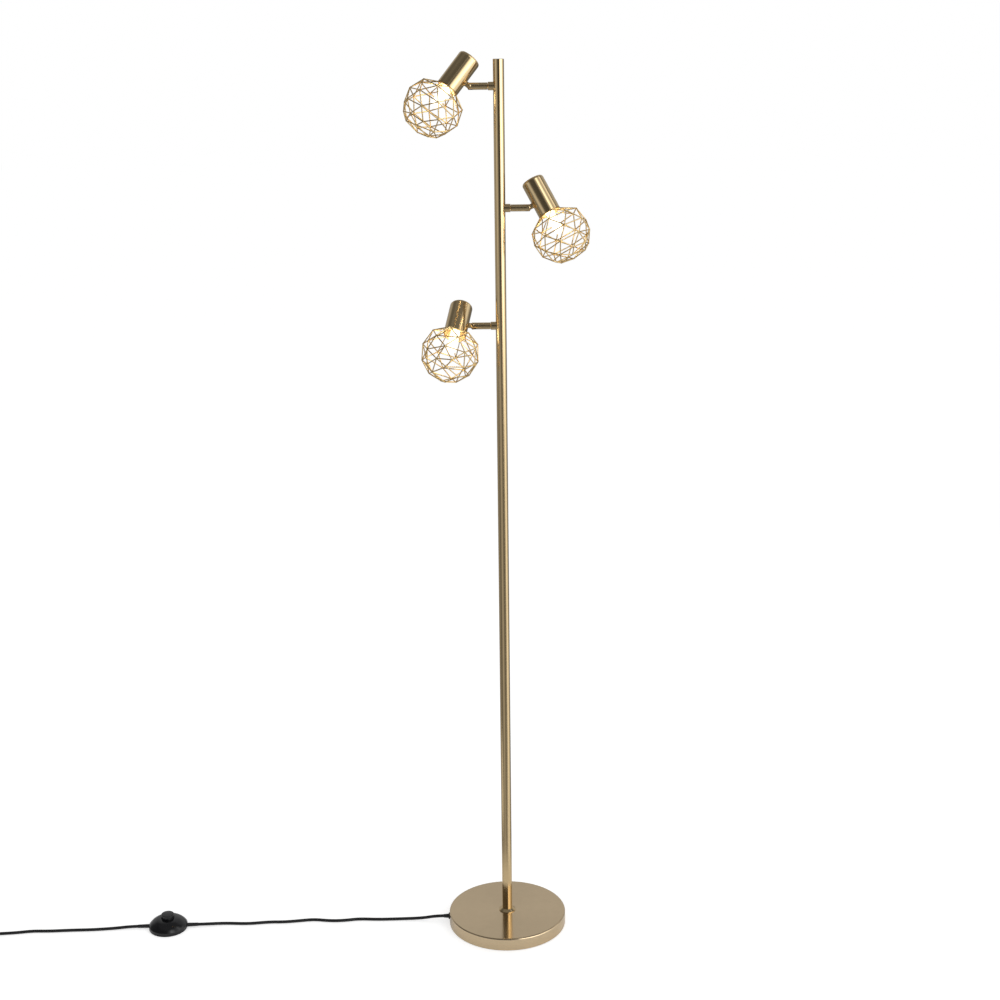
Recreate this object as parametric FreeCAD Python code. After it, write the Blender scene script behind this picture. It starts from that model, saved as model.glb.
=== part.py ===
import FreeCAD, Part
import math
import os

# Floor lamp with three swivelling cups on a pole. Each cup holds a capsule bulb
# inside a ball of welded wires. Sizes are in millimetres, +Z is up, and the origin
# is the centre of the base on the floor. The left arm points along -X.

# Base: a spun cover over an iron weight that stands on a foam pad
BASE_RADIUS = 106.5
BASE_TOP = 23.5
COVER_WALL = 1.2
COVER_EDGE = 2.5
COVER_LIFT = 1.0
PAD_THICK = 3.0
PAD_INSET = 2.5
WEIGHT_CLEARANCE = 0.5
WEIGHT_WEB = 5.8
WELL_RADIUS = 16.0
NIPPLE_RADIUS = 5.0
NIPPLE_BORE = 3.5
NIPPLE_GRIP = 18.0
THREAD_RUNOUT = 1.0
THREAD_CLEARANCE = 0.1
HOLE_CLEARANCE = 0.25
BASE_NUT_FLATS = 17.0
BASE_NUT_HEIGHT = 5.0
BASE_WASHER_RADIUS = 14.0
BASE_WASHER_THICK = 1.5
NIPPLE_SHOWS = 1.0

# Foot collar: the small flared ring round the foot of the pole
COLLAR_RADIUS = 15.0
COLLAR_BAND = 1.2
COLLAR_TOP_RADIUS = 10.0
COLLAR_HEIGHT = 4.9
COLLAR_CLEARANCE = 0.1

# Pole: three tubes of one size, butted over threaded joiners
POLE_RADIUS = 9.0
POLE_WALL = 1.2
LOWER_SEAM = 530.0
UPPER_SEAM = 1035.0
POLE_TOP = 1540.0
JOINER_REACH = 25.0
JOINER_BORE = 4.0
PLUG_LENGTH = 21.5
CAP_THICK = 3.0
CAP_EDGE = 0.5
CAP_SPIGOT = 8.0
LEAD_RADIUS = 2.25
LEAD_BEND = 6.0
LEAD_END_GAP = 30.0
LEAD_OVER_FOOT = 0.3
LEAD_STRAIGHT = 15.0
LEAD_SLOPE = 35.0

# Arms: short rods that turn in the pole, with a forked end, the first one this far
# below the pole's top and the others one pitch below each other
ARM_DROP = 42.2
ARM_PITCH = 194.2
ARM_SIDES = (-1, 1, -1)
ARM_RADIUS = 5.75
ARM_END = 50.0
ARM_CHAMFER = 1.5
ARM_BORE = 2.0
ROOT_RADIUS = 6.75
ROOT_END = 17.5
ROOT_CHAMFER = 0.6
ROOT_INSIDE = 6.0
ARM_GAP = 0.3
SPIGOT_RADIUS = 3.5
SPIGOT_CLEARANCE = 0.08
SPIGOT_INNER_END = 4.6
CLIP_RADIUS = 4.75
CLIP_GROOVE_RADIUS = 3.0
CLIP_THICK = 0.8
CLIP_START = 5.2
CLIP_MOUTH = 3.6
CLIP_FIT = 0.03

# Knuckle: the tab of the lamp head tilts in the fork on a screw
PIVOT_REACH = 47.0
TAB_THICK = 4.0
TAB_HALF_HEIGHT = 4.0
FORK_SLOT = 4.2
FORK_DEPTH = 5.0
SCREW_RADIUS = 1.5
SCREW_CLEARANCE = 0.06
SCREW_SEAT = 4.7
SCREW_HEAD_RADIUS = 2.75
SCREW_HEAD_HEIGHT = 1.6
SCREW_HEAD_DOME = 0.8
SCREW_NUT_HEIGHT = 1.8
SCREW_SLOT_WIDTH = 0.7
SCREW_SLOT_DEPTH = 0.6
SEAT_CLEARANCE = 0.35
LUG_FLANGE_RADIUS = 4.5
LUG_FLANGE_THICK = 1.0
LUG_STUD_RADIUS = 3.0
LUG_STUD_BORE = 1.7
LUG_STUD_SHOWS = 0.4
LUG_NUT_FLATS = 9.0
LUG_NUT_THICK = 3.0
WIRE_HOLE_RADIUS = 1.2
WIRE_HOLE_FROM_PIVOT = 3.6

# Holder: a drawn cup, closed at the top, that hangs on the lug
HOLDER_RADIUS = 19.0
HOLDER_WALL = 1.0
HOLDER_LENGTH = 61.5
HOLDER_ROUND = 4.5
HOLDER_TOP_ABOVE_PIVOT = 38.5
HOLDER_FROM_PIVOT = 26.5
WALL_CLEARANCE = 0.05

# Lampholder and bulb, carried by a bent strip under the lug's nut
BRACKET_THICK = 1.2
BRACKET_WIDTH = 12.0
BRACKET_FOOT = 5.0
BRACKET_BEND = 2.0
BRACKET_TIP = 8.0
SOCKET_RADIUS = 9.5
SOCKET_LENGTH = 20.0
SOCKET_BELOW_TOP = 26.5
SOCKET_EDGE = 1.0
SOCKET_SLOT_DEPTH = 5.0
PINCH_LENGTH = 14.0
PINCH_THICK = 4.0
PINCH_DEPTH = 8.2
PINCH_CLEARANCE = 0.3
PIN_RADIUS = 0.8
PIN_SPACING = 9.0
PIN_LENGTH = 5.5
PIN_CLEARANCE = 0.2
SOCKET_SCREW_OFFSET = 6.0
SOCKET_SCREW_RADIUS = 1.05
SOCKET_SCREW_HEAD = 2.2
SOCKET_SCREW_HEAD_HEIGHT = 1.3
SOCKET_SCREW_DEPTH = 5.0
BRACKET_WIRE_HOLE = 2.5
BULB_RADIUS = 7.8
BULB_LENGTH = 50.0
BULB_BASE_IN_HOLDER = 11.0
BULB_SHOULDER = 2.0

# Wire cage: hubs on a ball, in rings set at these angles from the ball's lowest
# point, each ring turned half a step against the one above it. The closing square
# is twisted a little against the rings.
CAGE_RADIUS = 48.4
CAGE_CENTRE_BELOW_MOUTH = 39.7
CAGE_RING_ANGLES = (119.0, 92.0, 68.0, 44.0)
CAGE_RING_HUBS = 8
CAGE_END_ANGLE = 27.0
CAGE_END_HUBS = 4
CAGE_END_TWIST = 10.0
CAGE_WIRE_RADIUS = 1.0
CAGE_WIRE_SIDES = 6
CAGE_NECK_RADIUS = 17.4
CAGE_NECK_DROP = 1.1
CAGE_SLEEVE_WALL = 0.8
CAGE_SLEEVE_RISE = 6.0
CAGE_SLEEVE_CLEARANCE = 0.1

# Head settings: tilt of the lower end away from the pole, swivel of the lower end
# towards the front, and turn of the cage about the cup's axis, in degrees
HEAD_TILT = (37.0, 27.4, 10.5)
HEAD_SWIVEL = (19.0, 19.0, 47.0)
CAGE_TURN = (81.4, 15.8, 85.0)

# Mains cord and its rubber bushing in the left side of the base
CORD_RADIUS = 2.8
CORD_STRAIGHT = 15.0
BUSHING_HEIGHT = 11.0
BUSHING_FLANGE_RADIUS = 6.0
BUSHING_FLANGE_THICK = 2.0
BUSHING_FLANGE_EDGE = 0.5
BUSHING_BARREL_RADIUS = 4.4
BUSHING_CLEARANCE = 0.1
BUSHING_SNAP_RADIUS = 5.4
BUSHING_SNAP_THICK = 2.0
BUSHING_INSIDE = 11.0
BUSHING_SPOUT = 9.0
BUSHING_SPOUT_RADIUS = 3.9
BUSHING_TIP_RADIUS = 3.2
GROOVE_CLEARANCE = 0.6

# Foot switch: a low dome with a round push button, on a flat base plate
SWITCH_CENTRE = (-625.0, -11.5)
SWITCH_TURN = 2.6
SWITCH_RADIUS = 35.0
SWITCH_WALL = 2.0
SWITCH_RIM_HEIGHT = 7.0
SWITCH_DOME_TOP = 20.0
DOME_BULGE_OUT = 0.60
DOME_BULGE_UP = 0.69
DOME_WALL_SLOPE = (0.6, 0.8)
SWITCH_LIFT = 1.0
PLATE_INSET = 0.6
PLATE_STEP_CLEARANCE = 0.2
PLATE_THICK = 2.4
BUTTON_RADIUS = 11.5
BUTTON_TOP = 29.0
BUTTON_CLEARANCE = 0.5
BUTTON_FLANGE_WIDTH = 1.9
BUTTON_FLANGE_THICK = 1.5
BUTTON_FLANGE_GAP = 0.3
BUTTON_DOME = 0.8
BUTTON_EDGE = 0.6
BUTTON_TRAVEL = 4.0
BUTTON_SPARE_TRAVEL = 1.0
BUTTON_WALL = 2.5
BLOCK_LENGTH = 26.0
BLOCK_WIDTH = 20.0
BLOCK_CORNER = 2.0
SPRING_RADIUS = 3.6
SPRING_WIRE = 0.8
SPRING_TURNS = 4.0
SPRING_SEAT_CLEARANCE = 0.5
SPRING_SEAT_DEPTH = 1.5
SPRING_END_GAP = 0.1
BOSS_RADIUS = 3.0
BOSS_CIRCLE = 24.0
BOSS_COUNT = 3
BOSS_FIRST_ANGLE = 90.0
BOSS_TOP = 14.0
BOSS_SCREW_RADIUS = 1.2
BOSS_SCREW_DEPTH = 6.0
BOSS_SCREW_POINT = 0.5
BOSS_SCREW_HEAD = 2.3
BOSS_SCREW_HEAD_HEIGHT = 1.2
BOSS_SCREW_RECESS = 0.3
GUARD_HEIGHT = 4.4
GUARD_LENGTH = 20.0
GUARD_RADIUS = 3.5
GUARD_TIP_RADIUS = 3.1
GUARD_INSIDE = 4.0
GUARD_CLEARANCE = 0.1

# Plug: flat two-pin body lying on the floor at the end of the coil
PLUG_BODY_LENGTH = 34.0
PLUG_BODY_WIDTH = 35.0
PLUG_BODY_HEIGHT = 13.6
PLUG_CORNER = 3.0
PLUG_EDGE = 1.5
PLUG_NECK_WIDTH = 14.0
PLUG_SHOULDER = 20.0
PLUG_TAIL_LENGTH = 24.0
PLUG_TAIL_RADIUS = 5.0
PLUG_TAIL_TIP_RADIUS = 3.3
PLUG_PIN_RADIUS = 2.0
PLUG_PIN_TIP_RADIUS = 1.2
PLUG_PIN_SPACING = 19.0
PLUG_PIN_LENGTH = 19.0
PLUG_PIN_SOCKET = 8.0

# Coil of the spare cord: two layers of turns, wound in and out again
COIL_CENTRE = (-996.0, 4.0)
COIL_MEAN_RADIUS = 31.0
COIL_TURNS = 2.25
COIL_CLIMB = 0.5
COIL_GAP = 0.5
COIL_START_ANGLE = -90.0
COIL_TAIL = 40.0
COIL_APPROACH = 26.0

V = FreeCAD.Vector
UP = V(0, 0, 1)
ALONG_X = V(1, 0, 0)
ALONG_Y = V(0, 1, 0)
POLE_BORE = POLE_RADIUS - POLE_WALL
HOLDER_BORE = HOLDER_RADIUS - HOLDER_WALL
MOUTH_Z = HOLDER_TOP_ABOVE_PIVOT - HOLDER_LENGTH
WEIGHT_TOP = BASE_TOP - COVER_WALL
WELL_TOP = WEIGHT_TOP - WEIGHT_WEB


def outline(points):
    """Closed face in the XZ plane. A point with four numbers ends an arc: the
    first two are a point half way along it, the last two its end."""
    edges = []
    here = V(points[0][0], 0, points[0][1])
    for point in points[1:] + [points[0]]:
        end = V(point[-2], 0, point[-1])
        if len(point) == 4:
            edges.append(Part.Arc(here, V(point[0], 0, point[1]), end).toShape())
        else:
            edges.append(Part.LineSegment(here, end).toShape())
        here = end
    return Part.Face(Part.Wire(edges))


def turned(points):
    """Solid of revolution about Z from (radius, height) points."""
    return outline(points).revolve(V(0, 0, 0), UP, 360)


def turned_on_x(points):
    """Solid of revolution about X from (radius, distance along X) points."""
    solid = turned(points)
    solid.rotate(V(0, 0, 0), ALONG_Y, 90)
    return solid


def ring(outer, inner, low, high):
    solid = Part.makeCylinder(outer, high - low, V(0, 0, low))
    return solid.cut(Part.makeCylinder(inner, high - low + 2, V(0, 0, low - 1)))


def box(x_range, y_range, z_range):
    corner = V(x_range[0], y_range[0], z_range[0])
    size = (x_range[1] - x_range[0], y_range[1] - y_range[0], z_range[1] - z_range[0])
    return Part.makeBox(*size, corner)


def hexagon(flats, bore, low, high):
    corner = flats / math.sqrt(3)
    points = []
    for step in range(6):
        angle = math.radians(60 * step)
        points.append(V(corner * math.cos(angle), corner * math.sin(angle), low))
    face = Part.Face(Part.makePolygon(points + [points[0]]))
    solid = face.extrude(V(0, 0, high - low))
    return solid.cut(Part.makeCylinder(bore, high - low + 2, V(0, 0, low - 1)))


def moved(shape, x=0.0, y=0.0, z=0.0):
    copy = shape.copy()
    copy.translate(V(x, y, z))
    return copy


def unit(vector):
    copy = FreeCAD.Vector(vector)
    copy.normalize()
    return copy


def round_places(radius, count, first_degrees):
    """Evenly spaced places on a circle about the origin."""
    places = []
    for number in range(count):
        angle = math.radians(first_degrees + 360.0 * number / count)
        places.append((radius * math.cos(angle), radius * math.sin(angle)))
    return places


def arc_middle(centre_x, centre_z, radius, degrees):
    """Point on a circle in the XZ plane, for the middle of an arc."""
    angle = math.radians(degrees)
    return centre_x + radius * math.cos(angle), centre_z + radius * math.sin(angle)


def cap_middle(radius, low, rise):
    """Middle of the arc from (radius, low) up to the axis, for a shallow dome."""
    ball = (radius ** 2 + rise ** 2) / (2 * rise)
    half = math.asin(radius / ball) / 2
    return ball * math.sin(half), low + rise - ball * (1 - math.cos(half))


# Routes of round tubes


def rounded_route(points, share=0.45):
    """Straight runs with a tangent arc at each point between. Returns the wire
    and the arcs' radii."""
    edges = []
    radii = []
    here = points[0]
    for before, corner, after in zip(points, points[1:], points[2:]):
        into = unit(corner - before)
        away = unit(after - corner)
        turn = into.getAngle(away)
        reach = share * min((corner - before).Length, (after - corner).Length)
        radii.append(reach / math.tan(turn / 2))
        start = corner - into * reach
        end = corner + away * reach
        to_centre = unit(away - into)
        centre = corner + to_centre * (radii[-1] / math.cos(turn / 2))
        middle = centre - to_centre * radii[-1]
        edges.append(Part.LineSegment(here, start).toShape())
        edges.append(Part.Arc(start, middle, end).toShape())
        here = end
    edges.append(Part.LineSegment(here, points[-1]).toShape())
    return Part.Wire(edges), radii


def tube(route, radius):
    first = route.OrderedEdges[0]
    start = first.valueAt(first.FirstParameter)
    heading = first.tangentAt(first.FirstParameter)
    section = Part.Wire(Part.makeCircle(radius, start, heading))
    return route.makePipeShell([section], True, False)


def report_tube(name, route, radius, solid, radii):
    swept = route.Length * math.pi * radius ** 2
    print("%s: length %.0f mm, least bend radius %.1f mm, volume is %.4f of section times length"
          % (name, route.Length, min(radii), solid.Volume / swept))
    print("   bend radii: " + ", ".join("%.0f" % value for value in radii))


# Base


def base_cover():
    inner_edge = COVER_EDGE - COVER_WALL
    outer = BASE_RADIUS
    inner = BASE_RADIUS - COVER_WALL
    hole = NIPPLE_RADIUS + HOLE_CLEARANCE
    corner = outer - COVER_EDGE
    shoulder = BASE_TOP - COVER_EDGE
    points = [
        (hole, BASE_TOP),
        (corner, BASE_TOP),
        arc_middle(corner, shoulder, COVER_EDGE, 45) + (outer, shoulder),
        (outer, COVER_LIFT),
        (inner, COVER_LIFT),
        (inner, shoulder),
        arc_middle(corner, shoulder, inner_edge, 45) + (corner, BASE_TOP - COVER_WALL),
        (hole, BASE_TOP - COVER_WALL),
    ]
    cover = turned(points)
    bushing_hole = Part.makeCylinder(BUSHING_BARREL_RADIUS + BUSHING_CLEARANCE, COVER_WALL * 4,
                                     V(-outer - COVER_WALL, 0, BUSHING_HEIGHT), ALONG_X)
    return cover.cut(bushing_hole)


def base_weight():
    edge = COVER_EDGE - COVER_WALL + WEIGHT_CLEARANCE
    outer = BASE_RADIUS - COVER_WALL - WEIGHT_CLEARANCE
    hole = NIPPLE_RADIUS + HOLE_CLEARANCE
    weight = turned([
        (hole, WELL_TOP),
        (WELL_RADIUS, WELL_TOP),
        (WELL_RADIUS, PAD_THICK),
        (outer, PAD_THICK),
        (outer, WEIGHT_TOP - edge),
        (outer - edge, WEIGHT_TOP),
        (hole, WEIGHT_TOP),
    ])
    half_width = BUSHING_SNAP_RADIUS + GROOVE_CLEARANCE
    groove = box((-BASE_RADIUS, 0), (-half_width, half_width),
                 (0, BUSHING_HEIGHT + half_width))
    return weight.cut(groove)


def base_pad():
    return Part.makeCylinder(BASE_RADIUS - COVER_WALL - PAD_INSET, PAD_THICK)


NUT_LOW = WELL_TOP - BASE_WASHER_THICK - BASE_NUT_HEIGHT


def base_nipple():
    return ring(NIPPLE_RADIUS, NIPPLE_BORE, NUT_LOW - NIPPLE_SHOWS, BASE_TOP + NIPPLE_GRIP)


def base_nut():
    bore = NIPPLE_RADIUS + THREAD_CLEARANCE
    nut = hexagon(BASE_NUT_FLATS, bore, NUT_LOW, NUT_LOW + BASE_NUT_HEIGHT)
    washer = ring(BASE_WASHER_RADIUS, NIPPLE_RADIUS + HOLE_CLEARANCE,
                  NUT_LOW + BASE_NUT_HEIGHT, WELL_TOP)
    return Part.makeCompound([nut, washer])


def foot_collar():
    bore = POLE_RADIUS + COLLAR_CLEARANCE
    return turned([
        (bore, BASE_TOP),
        (COLLAR_RADIUS, BASE_TOP),
        (COLLAR_RADIUS, BASE_TOP + COLLAR_BAND),
        (COLLAR_TOP_RADIUS, BASE_TOP + COLLAR_HEIGHT),
        (bore, BASE_TOP + COLLAR_HEIGHT),
    ])


def cable_bushing():
    wall = BASE_RADIUS
    inside = wall - COVER_WALL - BUSHING_CLEARANCE
    flange = wall + BUSHING_FLANGE_THICK
    bushing = turned_on_x([
        (0, -flange - BUSHING_SPOUT),
        (BUSHING_TIP_RADIUS, -flange - BUSHING_SPOUT),
        (BUSHING_SPOUT_RADIUS, -flange),
        (BUSHING_FLANGE_RADIUS - BUSHING_FLANGE_EDGE, -flange),
        (BUSHING_FLANGE_RADIUS, -flange + BUSHING_FLANGE_EDGE),
        (BUSHING_FLANGE_RADIUS, -wall),
        (BUSHING_BARREL_RADIUS, -wall),
        (BUSHING_BARREL_RADIUS, -inside),
        (BUSHING_SNAP_RADIUS, -inside),
        (BUSHING_BARREL_RADIUS, -inside + BUSHING_SNAP_THICK),
        (BUSHING_BARREL_RADIUS, -flange + BUSHING_INSIDE),
        (0, -flange + BUSHING_INSIDE),
    ])
    return moved(bushing, z=BUSHING_HEIGHT)


# Pole


def foot_plug():
    outer = POLE_BORE - THREAD_CLEARANCE
    thread = NIPPLE_RADIUS + THREAD_CLEARANCE
    top_of_thread = BASE_TOP + NIPPLE_GRIP + THREAD_RUNOUT
    top = BASE_TOP + PLUG_LENGTH
    return turned([
        (thread, BASE_TOP),
        (outer, BASE_TOP),
        (outer, top),
        (NIPPLE_BORE, top),
        (NIPPLE_BORE, top_of_thread),
        (thread, top_of_thread),
    ])


def pole_tube(low, high):
    return ring(POLE_RADIUS, POLE_BORE, low, high)


def arm_height(index):
    return POLE_TOP - ARM_DROP - ARM_PITCH * index


def upper_pole():
    pole = pole_tube(UPPER_SEAM, POLE_TOP - CAP_THICK)
    for index, side in enumerate(ARM_SIDES):
        hole = Part.makeCylinder(SPIGOT_RADIUS + SPIGOT_CLEARANCE, 2 * POLE_RADIUS,
                                 V(0, 0, arm_height(index)), ALONG_X * side)
        pole = pole.cut(hole)
    return pole


def pole_joiners():
    outer = POLE_BORE - THREAD_CLEARANCE
    joiners = []
    for seam in (LOWER_SEAM, UPPER_SEAM):
        joiners.append(ring(outer, JOINER_BORE, seam - JOINER_REACH, seam + JOINER_REACH))
    return Part.makeCompound(joiners)


def pole_cap():
    low = POLE_TOP - CAP_THICK
    spigot = POLE_BORE - THREAD_CLEARANCE
    return turned([
        (0, low - CAP_SPIGOT),
        (spigot, low - CAP_SPIGOT),
        (spigot, low),
        (POLE_RADIUS, low),
        (POLE_RADIUS, POLE_TOP - CAP_EDGE),
        (POLE_RADIUS - CAP_EDGE, POLE_TOP),
        (0, POLE_TOP),
    ])


def inner_lead():
    """Lead from the bushing through the base and up inside the pole."""
    low = PAD_THICK + LEAD_RADIUS + LEAD_OVER_FOOT
    start = -BASE_RADIUS - BUSHING_FLANGE_THICK + BUSHING_INSIDE
    slope_start = V(start + LEAD_STRAIGHT, 0, BUSHING_HEIGHT)
    slope_end = V(start + LEAD_STRAIGHT + LEAD_SLOPE, 0, low)
    corner = V(0, 0, low)
    bend_low = V(-LEAD_BEND, 0, low)
    bend_high = V(0, 0, low + LEAD_BEND)
    points = [V(start, 0, BUSHING_HEIGHT), slope_start, slope_end, bend_low]
    lower_route, radii = rounded_route(points)
    half = LEAD_BEND * (1 - math.sqrt(0.5))
    middle = corner + V(-half, 0, half)
    top = V(0, 0, POLE_TOP - LEAD_END_GAP)
    edges = list(lower_route.OrderedEdges)
    edges.append(Part.Arc(bend_low, middle, bend_high).toShape())
    edges.append(Part.LineSegment(bend_high, top).toShape())
    return tube(Part.Wire(edges), LEAD_RADIUS)


# Arm, drawn along +X at height zero, with the front of the lamp towards -Y


def arm_collar():
    collar = turned_on_x([
        (SPIGOT_RADIUS + SPIGOT_CLEARANCE, ROOT_INSIDE),
        (ROOT_RADIUS, ROOT_INSIDE),
        (ROOT_RADIUS, ROOT_END - ROOT_CHAMFER),
        (ROOT_RADIUS - ROOT_CHAMFER, ROOT_END),
        (SPIGOT_RADIUS + SPIGOT_CLEARANCE, ROOT_END),
    ])
    saddle = Part.makeCylinder(POLE_RADIUS + WALL_CLEARANCE, 4 * ROOT_RADIUS,
                               V(0, 0, -2 * ROOT_RADIUS))
    return collar.cut(saddle)


def arm_rod():
    """Rod with the spigot that turns in the pole and the fork for the head's tab."""
    rod_start = ROOT_END + ARM_GAP
    chamfer = ARM_CHAMFER
    groove_end = CLIP_START + CLIP_THICK
    rod = turned_on_x([
        (0, SPIGOT_INNER_END),
        (SPIGOT_RADIUS, SPIGOT_INNER_END),
        (SPIGOT_RADIUS, CLIP_START),
        (CLIP_GROOVE_RADIUS, CLIP_START),
        (CLIP_GROOVE_RADIUS, groove_end),
        (SPIGOT_RADIUS, groove_end),
        (SPIGOT_RADIUS, rod_start),
        (ARM_RADIUS - ROOT_CHAMFER, rod_start),
        (ARM_RADIUS, rod_start + ROOT_CHAMFER),
        (ARM_RADIUS, ARM_END - chamfer),
        (ARM_RADIUS - chamfer, ARM_END),
        (0, ARM_END),
    ])
    slot_start = PIVOT_REACH - FORK_DEPTH
    half_slot = FORK_SLOT / 2
    slot = box((slot_start, ARM_END + 1), (-half_slot, half_slot),
               (-ARM_RADIUS - 1, ARM_RADIUS + 1))
    bore = Part.makeCylinder(ARM_BORE, slot_start, V(0, 0, 0), ALONG_X)
    hole = Part.makeCylinder(SCREW_RADIUS + SCREW_CLEARANCE, 4 * ARM_RADIUS,
                             V(PIVOT_REACH, -2 * ARM_RADIUS, 0), ALONG_Y)
    seat_radius = SCREW_HEAD_RADIUS + SEAT_CLEARANCE
    front_seat = Part.makeCylinder(seat_radius, ARM_RADIUS,
                                   V(PIVOT_REACH, -SCREW_SEAT, 0), -ALONG_Y)
    back_seat = Part.makeCylinder(seat_radius, ARM_RADIUS,
                                  V(PIVOT_REACH, SCREW_SEAT, 0), ALONG_Y)
    return rod.cut([slot, bore, hole, front_seat, back_seat])


def arm_clip():
    """Open ring that snaps into the spigot's groove inside the pole."""
    clip = turned_on_x([
        (CLIP_GROOVE_RADIUS + CLIP_FIT, CLIP_START + CLIP_FIT),
        (CLIP_RADIUS, CLIP_START + CLIP_FIT),
        (CLIP_RADIUS, CLIP_START + CLIP_THICK - CLIP_FIT),
        (CLIP_GROOVE_RADIUS + CLIP_FIT, CLIP_START + CLIP_THICK - CLIP_FIT),
    ])
    mouth = box((0, POLE_RADIUS), (-CLIP_MOUTH / 2, CLIP_MOUTH / 2), (0, 2 * CLIP_RADIUS))
    return clip.cut(mouth)


def knuckle_screw(front):
    """Pivot screw with a domed slotted head, and its round nut. front is -1 where
    the head faces -Y in the arm's own frame."""
    head_top = SCREW_SEAT + SCREW_HEAD_HEIGHT
    rim = head_top - SCREW_HEAD_DOME
    nut_top = SCREW_SEAT + SCREW_NUT_HEIGHT
    screw = turned([
        (0, -nut_top),
        (SCREW_RADIUS, -nut_top),
        (SCREW_RADIUS, SCREW_SEAT),
        (SCREW_HEAD_RADIUS, SCREW_SEAT),
        (SCREW_HEAD_RADIUS, rim),
        cap_middle(SCREW_HEAD_RADIUS, rim, SCREW_HEAD_DOME) + (0, head_top),
    ])
    slot = box((-SCREW_HEAD_RADIUS, SCREW_HEAD_RADIUS),
               (-SCREW_SLOT_WIDTH / 2, SCREW_SLOT_WIDTH / 2),
               (head_top - SCREW_SLOT_DEPTH, head_top + 1))
    nut = ring(SCREW_HEAD_RADIUS, SCREW_RADIUS + SCREW_CLEARANCE, -nut_top, -SCREW_SEAT)
    pair = Part.makeCompound([screw.cut(slot), nut])
    pair.rotate(V(0, 0, 0), ALONG_X, -90 * front)
    return moved(pair, x=PIVOT_REACH)


# Lamp head, drawn with its pivot at the origin, hanging straight down, with the
# cup's axis away from the pole along +X


def lug():
    """Flat tab that tilts in the fork, with a hollow stud through the cup's wall."""
    wall = HOLDER_FROM_PIVOT - HOLDER_RADIUS
    flange_start = wall - LUG_FLANGE_THICK
    half = TAB_THICK / 2
    tab = box((0, wall + 1), (-half, half), (-TAB_HALF_HEIGHT, TAB_HALF_HEIGHT))
    nose = Part.makeCylinder(TAB_HALF_HEIGHT, TAB_THICK, V(0, -half, 0), ALONG_Y)
    flange = Part.makeCylinder(LUG_FLANGE_RADIUS, 2 * LUG_FLANGE_THICK,
                               V(flange_start, 0, 0), ALONG_X)
    body = tab.fuse([nose, flange])
    cup = Part.makeCylinder(HOLDER_RADIUS + WALL_CLEARANCE, 4 * TAB_HALF_HEIGHT,
                            V(HOLDER_FROM_PIVOT, 0, -2 * TAB_HALF_HEIGHT))
    stud_end = bracket_face() + BRACKET_THICK + LUG_NUT_THICK + LUG_STUD_SHOWS
    stud = Part.makeCylinder(LUG_STUD_RADIUS, stud_end - flange_start,
                             V(flange_start, 0, 0), ALONG_X)
    body = body.cut(cup).fuse(stud)
    pin_hole = Part.makeCylinder(SCREW_RADIUS + SCREW_CLEARANCE, 2 * TAB_THICK,
                                 V(0, -TAB_THICK, 0), ALONG_Y)
    bore = Part.makeCylinder(LUG_STUD_BORE, stud_end, V(WIRE_HOLE_FROM_PIVOT, 0, 0), ALONG_X)
    wire_hole = Part.makeCylinder(WIRE_HOLE_RADIUS, 2 * TAB_HALF_HEIGHT,
                                  V(WIRE_HOLE_FROM_PIVOT, 0, 0))
    return body.cut([pin_hole, bore, wire_hole]).removeSplitter()


def bracket_face():
    """Distance from the pivot to the bracket's back, which touches the round wall
    with its two long edges."""
    half = BRACKET_WIDTH / 2
    return HOLDER_FROM_PIVOT - math.sqrt(HOLDER_BORE ** 2 - half ** 2) + WALL_CLEARANCE


def holder():
    low = MOUTH_Z
    top = HOLDER_TOP_ABOVE_PIVOT
    corner = HOLDER_RADIUS - HOLDER_ROUND
    inner_round = HOLDER_ROUND - HOLDER_WALL
    shoulder = top - HOLDER_ROUND
    cup = turned([
        (0, top),
        (corner, top),
        arc_middle(corner, shoulder, HOLDER_ROUND, 45) + (HOLDER_RADIUS, shoulder),
        (HOLDER_RADIUS, low),
        (HOLDER_BORE, low),
        (HOLDER_BORE, shoulder),
        arc_middle(corner, shoulder, inner_round, 45) + (corner, top - HOLDER_WALL),
        (0, top - HOLDER_WALL),
    ])
    hole = Part.makeCylinder(LUG_STUD_RADIUS + THREAD_CLEARANCE, HOLDER_RADIUS,
                             V(-HOLDER_FROM_PIVOT, 0, 0), ALONG_X)
    return moved(cup.cut(hole), x=HOLDER_FROM_PIVOT)


def socket_top():
    return HOLDER_TOP_ABOVE_PIVOT - SOCKET_BELOW_TOP


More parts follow.
